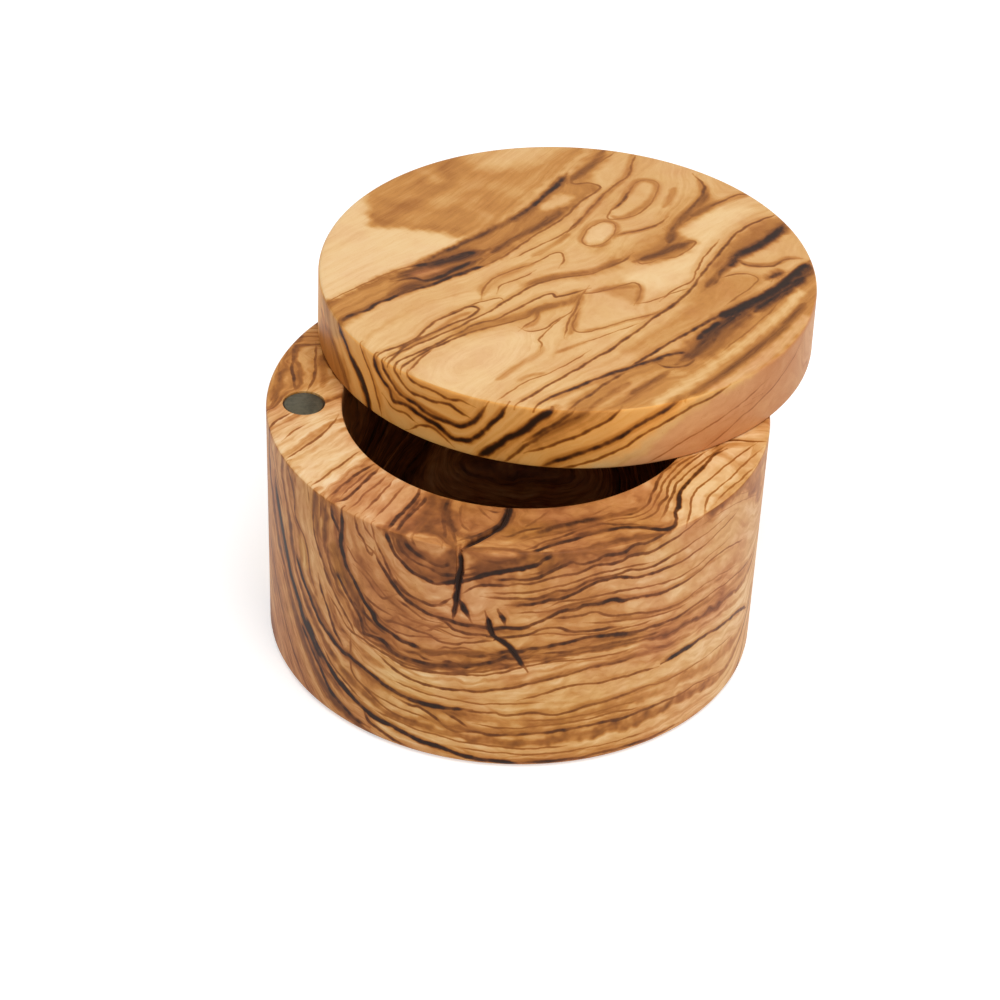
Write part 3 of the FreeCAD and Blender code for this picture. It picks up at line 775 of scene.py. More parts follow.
LID_STREAKS = (
    # the dark band
    (LID_TOP, 0.9, ((-36, 8.3), (-30, 13.2), (-24, 18.6), (-19, 21.6), (-12, 26.3), (-7, 29.5))),
    (LID_TOP, 1.5, ((-24, 25), (-21, 27), (-17, 29.3), (-13, 31.8), (-9, 33.6), (-6, 35.5))),
    (LID_TOP, 1.4, ((-26, 18), (-23.5, 20.3), (-20, 22.5), (-16, 25), (-11, 29), (-8, 31.5))),
    (LID_TOP, 0.8, ((-20, 30.5), (-14, 35.5), (-8, 40.5), (-3, 45), (1, 49))),
    (LID_TOP, 1.0, ((-5, 34.5), (0, 40), (5, 45), (9, 49.5), (12, 53.2))),
    (LID_TOP, 1.3, ((-1, 46.5), (1.8, 49.8), (4.4, 53.2), (7.4, 57.8), (9.8, 61.7), (12, 65.8))),
    (LID_TOP, 1.0, ((13, 64), (16, 68), (19, 73), (21, 77))),
    # the hairpin and the pale middle
    (LID_TOP, 1.1, ((-13, 3.5), (-9, 6), (-5, 8.3), (0, 10.8), (5, 14), (10, 16), (13, 19))),
    (LID_TOP, 0.6, ((-24, -3), (-18, 3.5), (-13, 9.5), (-9, 12.5))),
    (LID_TOP, 1.1, ((-7.2, 18), (-6.5, 21), (-3.6, 25), (0, 28), (4, 31))),
    (LID_TOP, 0.9, ((2, 22.5), (8, 26), (16, 28.5), (22, 33))),
    (LID_TOP, 0.8, ((4, 1), (3.3, -2.5), (0, -6), (-3, -9.5), (-5.5, -12.5))),
    (LID_TOP, 0.5, ((6, -3), (10, 0), (14, 2))),
    (LID_TOP, 0.5, ((-2, -13), (1, -10.6), (5, -9))),
    (LID_TOP, 0.9, ((9.5, 4), (10.7, 8), (11.3, 12), (13.3, 19))),
    (LID_TOP, 0.5, ((12, 5.4), (16, 6.6), (20, 8.8), (27, 12), (33, 17))),
    (LID_TOP, 0.6, ((0.5, 6), (3.5, 9.5), (4, 13.5), (8, 16))),
    (LID_TOP, 0.9, ((23.8, 15.5), (24.7, 19), (24.5, 22.5), (20, 22), (15, 20))),
    # the upper right
    (LID_TOP, 0.8, ((27, 76), (26, 71), (24.5, 66), (21.5, 61), (18.5, 56), (15.5, 50.5), (13, 45.5))),
    (LID_TOP, 0.9, ((20.5, 50), (23, 49), (27, 52.5), (30, 58), (31, 63), (28, 64.5), (26, 62), (23.5, 56))),
    (LID_TOP, 0.7, ((21, 52), (22.6, 54.3), (24, 57.5), (25.3, 60.5))),
    (LID_TOP, 0.7, ((20.8, 41), (22, 42.3), (26, 43.8), (30, 46.3))),
    (LID_TOP, 0.8, ((15, 38), (14, 41), (15.5, 45), (18.5, 47.7), (21.3, 46.5), (21, 42.5), (18.5, 38.8))),
    (LID_TOP, 0.6, ((15, 37.5), (18, 38), (20.3, 41))),
    (LID_TOP, 0.9, ((31.5, 53), (34, 58.5), (35, 62))),
    (LID_TOP, 0.7, ((3, 33), (8, 38), (12, 43))),
    # knots on the right
    (LID_TOP, 1.2, ((25.5, 32.5), (30, 35), (33, 37.5), (36, 39.3))),
    (LID_TOP, 1.1, ((32, 39), (32.6, 42), (34, 47), (37, 52), (40, 56), (41, 60), (40, 65))),
    (LID_TOP, 1.0, ((37, 50), (42, 54), (46, 57), (51, 60))),
    (LID_TOP, 1.3, ((45, 34.5), (47, 36), (50, 38.4), (53, 41.5), (56, 46))),
    (LID_TOP, 0.9, ((38, 22), (41, 27), (44, 31.4), (46, 34.5))),
    (LID_TOP, 0.8, ((45.5, 33), (48, 31), (53, 31.5), (56, 33.8), (59, 33.5))),
    (LID_TOP, 1.0, ((51.5, 26), (53, 27.2), (55, 28.2))),
    # the brown right side
    (LID_TOP, 1.3, ((31, -5), (34, -2), (35.8, 1), (37.8, 4.5), (40, 8), (43, 11.3))),
    (LID_TOP, 1.7, ((38, 9.8), (44, 14.8), (48, 18.2), (52, 22.2), (56, 27), (60, 32))),
    (LID_TOP, 1.1, ((47, 13), (51, 17), (55, 21.5), (59, 26.5))),
    (LID_TOP, 0.9, ((5, -19), (10, -15), (16, -11), (22, -7), (28, -3.5))),
    (LID_TOP, 1.0, ((32, -17), (37, -12), (42, -6), (46, -1), (50, 4), (54, 10), (58, 17))),
    (LID_TOP, 0.8, ((12, -22), (17, -16.5), (21, -12.5))),
    (LID_TOP, 0.7, ((20, -17), (25, -12), (29, -8))),
    # the side
    (LID_SIDE, 1.0, ((189, 62), (194, 61), (199, 60.5), (206, 56.5), (209, 53))),
    (LID_SIDE, 1.2, ((203, 66), (208, 62), (213, 58.5), (216, 54), (217, 51.5))),
    (LID_SIDE, 1.1, ((219, 66), (221.5, 61.7), (227, 59.3), (235, 57.5), (242, 55))),
    (LID_SIDE, 0.6, ((243, 54.8), (246, 56), (249, 59.3), (253.5, 66))),
    (LID_SIDE, 0.7, ((224, 63.3), (229, 60.8), (236, 59.8), (243, 58.6), (247, 61.5), (249, 65))),
    (LID_SIDE, 1.4, ((247.5, 52.5), (252, 55.8), (256, 59.3), (259, 61.8), (264.5, 66))),
    (LID_SIDE, 1.0, ((258, 58.5), (263, 61), (268, 63.7), (272, 66))),
    (LID_SIDE, 1.3, ((262, 52.8), (268, 55.2), (275, 57.8), (281, 60.8), (287, 63.8), (293, 66))),
)

LID_STAINS = (
    # pale corner, cloud and the dark band
    (LID_TOP, "patch", 0.13, 0.3, 2.0, ((-42, 12), (-30, 22), (-20, 31), (-10, 40), (-25, 44),
                                        (-30, 50), (-33, 60), (-44, 48))),
    (LID_TOP, "patch", 0.44, 0.05, 1.1, ((-29.5, 44.6), (-25, 44), (-20, 43.6), (-14.5, 42.7), (-13.5, 41.4),
                                         (-9, 41), (0, 50), (6, 60), (13, 70), (16, 80), (-4, 82),
                                         (-20, 72), (-29, 61), (-29.6, 52), (-28.4, 49))),
    (LID_TOP, 1.0, 0.51, 0.05, 1.5, ((-28.5, 49), (-27.5, 46.5), (-22, 45.3), (-15, 44), (-10, 43))),
    (LID_TOP, 1.0, 0.49, 0.05, 1.6, ((-28, 56), (-25, 53.8), (-20, 52), (-13, 50.7), (-5, 51.5), (0, 53))),
    (LID_TOP, 1.2, 0.49, 0.05, 1.8, ((-18, 62), (-13, 61), (-11, 63), (-14, 68), (-13, 72))),
    (LID_TOP, 1.0, 0.48, 0.05, 1.8, ((-8, 66.5), (-2, 66), (3, 67), (7, 70))),
    (LID_TOP, 1.3, 0.34, 0.35, 1.8, ((-19, 68), (-16.5, 66), (-15, 63))),
    (LID_TOP, 1.8, 0.38, 0.1, 2.0, ((-9, 62), (-4, 61.5), (1, 59.5), (4, 57))),
    (LID_TOP, 1.5, 0.38, 0.15, 2.0, ((-22, 57), (-14, 55.5), (-6, 55.5))),
    (LID_TOP, 1.3, 0.37, 0.15, 1.8, ((-8, 52), (-4.5, 48.5), (-2.5, 45.5))),
    (LID_TOP, "patch", 0.25, 0.15, 3.0, ((-8, 70), (-2, 68.5), (5, 71), (9, 76), (12, 84), (-8, 84))),
    (LID_TOP, "patch", 0.56, 0.05, 0.7, ((-41, 13), (-35, 18), (-28, 24.5), (-20, 30), (-12, 37.5),
                                         (-5, 44.2), (0, 49.5), (4, 54), (8, 61), (11, 66),
                                         (14, 66), (13, 63), (17, 60.5), (15, 56), (10, 48),
                                         (5, 42), (-2, 33.5), (-6, 29.8), (-12, 26), (-20, 20.5),
                                         (-24, 18), (-28, 15), (-36, 6))),
    (LID_TOP, 2.2, 0.5, 0.1, 1.6, ((14, 62), (16, 68), (19, 74), (22, 79))),
    (LID_TOP, "patch", 0.7, 0.3, 1.8, ((-25, 18), (-22, 26), (-19, 30), (-14, 34), (-9, 36.5),
                                       (-6.5, 34), (-9, 30), (-15, 25), (-20, 20.5))),
    (LID_TOP, 1.2, 0.5, 0.7, 1.4, ((-20, 26), (-17.5, 27.8), (-15, 28))),
    (LID_TOP, "patch", 0.25, 0.3, 1.0, ((5.5, 52.5), (9, 52.5), (13, 55.5), (12.5, 58.5), (9.5, 57.5))),
    (LID_TOP, "patch", 0.52, 0.1, 1.2, ((12, 58.5), (16, 58.5), (19, 61), (17, 63), (12, 62.5))),
    # pale and brown patches
    (LID_TOP, "patch", 0.4, 0.2, 1.4, ((17, 21.3), (24, 23.5), (24.8, 19), (23.8, 15.5), (21, 18))),
    (LID_TOP, 1.9, 0.4, 0.1, 1.3, ((-12, 5), (-6, 8), (0, 11), (5, 14), (9, 16.5), (12.5, 19.5))),
    (LID_TOP, 1.2, 0.42, 0.15, 1.2, ((2, 22.8), (6, 25), (12, 26.3), (17, 28), (21, 31))),
    (LID_TOP, "patch", 0.13, 0.3, 2.5, ((-20, -12), (-13, -1), (-5, 4), (2, 5), (0, -4), (-6, -12),
                                        (-12, -19))),
    (LID_TOP, "patch", 0.13, 0.2, 2.0, ((22, 27), (25.5, 22), (30, 21), (34, 25), (38, 33),
                                        (43, 44), (50, 53), (42, 52), (36, 44), (37.5, 40), (33, 33))),
    (LID_TOP, "patch", 0.17, 0.4, 1.2, ((14.2, 40), (17, 46), (21.5, 46.5), (20, 40.5), (17.5, 38.2))),
    (LID_TOP, "patch", 0.36, 0.1, 1.5, ((16, 38), (19, 39.5), (20, 37), (18, 35), (16, 35.5))),
    (LID_TOP, "patch", 0.37, 0.2, 2.0, ((20, -1), (25, 5), (30, 11), (35, 18), (38, 24), (44, 27),
                                        (50, 26), (45, 17), (38, 10), (30, 3), (24, -3))),
    (LID_TOP, "patch", 0.5, 0.15, 1.2, ((8, -22), (15, -13), (24, -6), (30, -1), (36, 7),
                                        (44, 14), (52, 21), (62, 33), (68, 20), (58, 0), (44, -16),
                                        (28, -26), (14, -28))),
    (LID_TOP, 1.1, 0.26, 0.1, 0.9, ((25.5, -20), (30, -15), (34.5, -10), (38, -5), (42, -0.5), (46, 4),
                                    (50, 9), (54, 15), (57, 21))),
    (LID_TOP, 1.0, 0.36, 0.15, 1.0, ((14, -21), (21, -13.5), (27, -9), (32, -9.5))),
    (LID_TOP, 1.0, 0.36, 0.15, 1.0, ((34, -4.5), (38, 1), (43, 7), (48, 13))),
    (LID_TOP, 1.2, 0.3, 0.6, 1.2, ((37, -15), (43, -9), (48, -3), (53, 4), (58, 12))),
    (LID_TOP, 1.8, 0.64, 0.4, 1.4, ((33.5, -2.5), (35.5, 1), (37.5, 4.5), (40, 8), (43, 11.3))),
    (LID_TOP, "patch", 0.36, 0.15, 1.8, ((17, 31), (22, 36.5), (26, 41), (29, 45.5), (32, 51.5), (37, 58),
                                         (41, 62), (43, 56), (38, 50), (35, 46), (34, 42), (36, 39),
                                         (30, 33), (24, 32))),
    (LID_TOP, "patch", 0.5, 0.1, 1.2, ((24, 33), (26, 31), (30, 32.7), (34, 34.5), (37.5, 39.7),
                                        (34.5, 41.5), (34, 44.3), (31.5, 43.5), (29, 39), (26, 36.5))),
    (LID_TOP, "patch", 0.43, 0.1, 1.3, ((32, 44), (34, 49), (37, 54), (40, 60), (42, 59), (42, 54.5),
                                        (40, 50.5), (37, 48))),
    (LID_TOP, "patch", 0.44, 0.15, 1.3, ((33, 17), (36, 22), (40, 31), (44, 39), (47, 43), (47, 38), (44, 33),
                                         (41, 27), (38, 21), (35, 17))),
    (LID_TOP, "patch", 0.66, 0.2, 1.6, ((33, -1), (36, 4), (40, 8.5), (45, 13), (47, 12), (44, 6), (40, 0),
                                       (37, -4))),
    (LID_TOP, "patch", 0.5, 0.15, 1.2, ((40, 29), (42, 34), (45, 39), (48, 44), (52, 48.5), (56, 50),
                                         (58, 46), (55, 42), (50, 38), (46.5, 34), (43, 29))),
    (LID_TOP, 1.4, 0.74, 0.3, 1.3, ((42.5, 12), (47, 15.6), (51.5, 19.4), (56, 24), (61, 30))),
    (LID_TOP, 1.2, 0.68, 0.3, 1.1, ((46, 35), (49, 37), (52, 39.6), (54.5, 43), (57, 47))),
    (LID_TOP, 0.9, 0.7, 0.3, 0.9, ((44.2, 31.4), (45.2, 33.4), (46.6, 35.2))),
    (LID_TOP, 1.0, 0.6, 0.2, 0.9, ((51.6, 26.6), (53.5, 28.2), (55, 29))),
    (LID_TOP, 1.3, 0.32, 0.1, 1.5, ((2, 38), (6, 42), (10, 46), (13, 52))),
    # side of the lid
    (LID_SIDE, "patch", 0.29, -0.8, 2.0, ((150, 48), (360, 48), (360, 68), (150, 68))),
    (LID_SIDE, "patch", 0.54, -0.6, 1.0, ((187, 51), (209, 51), (209.5, 55), (207, 58.5),
                                         (198, 60.5), (189, 59))),
    (LID_SIDE, "patch", 0.46, 0.2, 1.2, ((191, 68), (193, 62.5), (200, 61.5), (205, 63.5), (203, 68))),
    (LID_SIDE, "patch", 0.45, -0.5, 1.2, ((252, 52.5), (256, 56), (263, 62), (268, 67), (280, 67),
                                        (270, 62.5), (262, 57.5), (256, 54), (254, 51))),
    (LID_SIDE, 0.9, 0.26, -0.9, 0.9, ((255, 53.8), (262, 56.8), (268, 59), (273, 61.2), (278, 63.7),
                                      (282, 66.2))),
    (LID_SIDE, "patch", 0.42, 0.9, 2.5, ((276, 50), (284, 56), (292, 62), (306, 66), (350, 68),
                                         (350, 50))),
)

LID_FLOW = math.radians(50.5)
LID_HEART = -3.7


def lid_rings(places):
    """Rings either side of the pale heart that runs slantwise across the lid."""
    across = places[:, 0] * math.sin(LID_FLOW) - places[:, 1] * math.cos(LID_FLOW) - LID_HEART
    down = (LID_TOP_Z / MM - places[:, 2]) * 0.45
    return np.sqrt(across ** 2 + down ** 2 + 9)


def lid_seen(places):
    """1 where the lid's drawn figure shows, 0 where only its rings show."""
    flat_top = places[:, 2] > LID_TOP_Z - 0.9 * MM
    radius = np.hypot(places[:, 0] - LID_AXIS.x, places[:, 1] - LID_AXIS.y)
    on_side = radius > LID_RADIUS - 1.2 * MM
    return np.where(flat_top, 1.0, band(angles_about(LID_AXIS, places), 190, 330, 14) * on_side)


# Lines and stains of the body

BODY_RIM = Face(BODY_AXIS, BODY_RADIUS, RIM_Z, False)
BODY_SIDE = Face(BODY_AXIS, BODY_RADIUS, RIM_Z, True, 296)

BODY_RIM_LINES = (
    # behind and beside the magnet
    (0.65, ((-44.6, 21), (-44.9, 14), (-44.6, 9), (-44.2, 4.2))),
    (0.5, ((-40.2, 21), (-40.3, 16), (-40.3, 11), (-41, 7), (-41.8, 4.3))),
    (0.6, ((-39, 20), (-38, 15), (-36.5, 11), (-35.5, 8))),
    (0.3, ((-47.3, 15), (-47.6, 9), (-48, 3), (-49.3, -3))),
    (0.65, ((-49.5, -9), (-48, -6.5), (-46, -4.5), (-45, -3.5))),
    (0.4, ((-45.8, -19.5), (-44, -17.3), (-42, -15), (-40, -12.5), (-38, -9.5), (-36.6, -7), (-36, -5))),
    (0.25, ((-46.2, -12.5), (-44.5, -10), (-42, -7.5))),
    # streaks across the pale part
    (0.35, ((-41, -28.5), (-38.5, -25.5), (-36.5, -23), (-34, -19.5), (-31.5, -16.5))),
    (0.6, ((-37.5, -32), (-36, -30), (-34.5, -27.5), (-33, -25.5), (-30.5, -22.5), (-28.5, -20.5))),
    (0.4, ((-35, -31.5), (-33.5, -29), (-31.5, -26), (-29.5, -23))),
    (0.7, ((-36.5, -33.8), (-35, -33), (-33, -31), (-31, -27.5), (-29.5, -25), (-28, -22.3))),
    (0.35, ((-33.5, -35.5), (-32, -33.5), (-30.5, -31), (-28, -27.5), (-26.5, -24.8))),
    (0.45, ((-31, -36.5), (-29, -33.5), (-27, -30), (-25.5, -26.5))),
    (0.35, ((-28.5, -38.5), (-27, -36), (-25.5, -33), (-24, -30), (-23, -28))),
    (0.85, ((-26.5, -42.5), (-25.5, -40.5), (-24.5, -38.5), (-23, -36), (-21.5, -33.5), (-20.5, -31),
            (-20, -29))),
    (0.5, ((-24.6, -41.5), (-23.5, -39.5), (-22, -36.5), (-20.7, -34), (-20, -31.5))),
    (0.75, ((-25, -43.5), (-24, -41.3), (-22.7, -38.7), (-21, -36), (-19.5, -33.5), (-18.8, -31))),
    (0.5, ((-21.5, -44), (-20, -41), (-18.8, -39), (-17.5, -36), (-16.8, -33.5), (-16.5, -31))),
    (0.75, ((-16, -46.5), (-15.5, -43), (-15.8, -40), (-15.5, -37), (-15, -34), (-14.5, -31.5))),
    (0.55, ((-13.5, -47.8), (-14, -44.5), (-14.5, -41.5), (-15, -38), (-14.5, -34), (-13.8, -32))),
    # about the crack
    (0.85, ((-13, -45.7), (-11, -44.7), (-9, -43.9), (-7, -42.5), (-5.5, -41), (-4.3, -39),
            (-3.5, -36.5), (-3.2, -34.5))),
    (0.45, ((-9.5, -34), (-8.5, -36), (-7.5, -38), (-6.3, -39.5))),
    (0.5, ((-9, -35.2), (-6, -36.5), (-4, -36.5))),
    (0.45, ((-11.8, -33.5), (-12.5, -36), (-12.6, -39), (-12, -41.5), (-10.5, -43))),
    (0.4, ((-7.5, -34.5), (-6, -35.2), (-4.5, -35))),
    (0.4, ((5, -40.2), (8, -39.3), (11, -38.3), (13.5, -36.5), (15.5, -35))),
    (0.5, ((-2.6, -35), (-2.3, -37), (-3, -39.5), (-4, -41.8))),
    (0.4, ((-1.5, -46.2), (1, -44.8), (4, -43.2), (8, -42.2), (11, -40.5))),
    (0.55, ((-5.5, -44), (-3.5, -44.3), (-2, -43.5), (0, -42.3), (2, -41.7), (4, -41), (8, -40.8),
            (11, -39.8))),
    (0.5, ((4.8, -35.5), (3, -38), (1, -40.3), (-1, -42))),
    # right of the crack
    (0.9, ((0, -49.5), (3, -48), (6, -46.2), (9, -45), (12, -43.3), (15, -42.3), (18, -41.3),
           (21, -41.2), (24, -41.6), (26.3, -41.7), (27.8, -40.7), (28.5, -39), (28.4, -36.5),
           (29.3, -34), (29.6, -31), (30.5, -28.5), (32, -25.5), (34, -22.5), (36, -19.5),
           (37.5, -17), (39.5, -15.5))),
    (0.6, ((-1, -48.8), (1, -47.8), (3, -46), (6, -44.5), (9, -43), (12, -41), (14.5, -40),
           (17, -40.3), (20, -40.2), (22, -40.8))),
    (0.5, ((0, -45.5), (2, -44.5), (5, -43.5), (8, -42.5), (11, -40.7), (13, -39.2), (15, -37.7),
            (16.2, -36.8), (17, -37.5), (19, -37.2), (21, -36.3), (23, -34.5), (24, -32.5),
            (24.5, -30.5), (25.3, -27.5), (26.3, -24.5), (28, -21.5), (30.5, -19))),
    (0.35, ((14, -40), (17, -38.5), (20, -38), (22, -37), (24, -35.3), (25, -33), (25.8, -30.5),
           (26.5, -27.5), (27.5, -25), (29.5, -21.5), (32, -18.5), (35, -16.3))),
    (0.45, ((21, -39.2), (23, -38), (25, -36), (26, -33.5), (27.3, -31), (27.5, -28.5), (28.5, -25.5),
            (30.5, -22.3), (33, -19), (36, -16))),
    (0.4, ((25.5, -38.5), (26.8, -35.5), (27.5, -33), (28.5, -30), (29.3, -27), (31, -24),
           (34, -20.3), (37, -17), (40, -14))),
    (0.3, ((30.2, -40), (31, -37.5), (31.5, -34.5), (32, -31.5), (33.5, -28.5), (36, -25), (39, -21),
           (43, -16.5), (46, -13))),
    (0.25, ((34, -36), (35, -32), (37, -28.5), (40, -24.5), (44, -19), (47, -15))),
    (0.25, ((37, -32), (39, -29), (42, -25), (45, -21))),
    (0.55, ((34.5, -15.5), (38, -13.2), (41, -12), (44, -12), (48, -12.2))),
    (0.5, ((38, -14.5), (41, -10.5), (43.5, -8), (46.5, -5.5))),
)

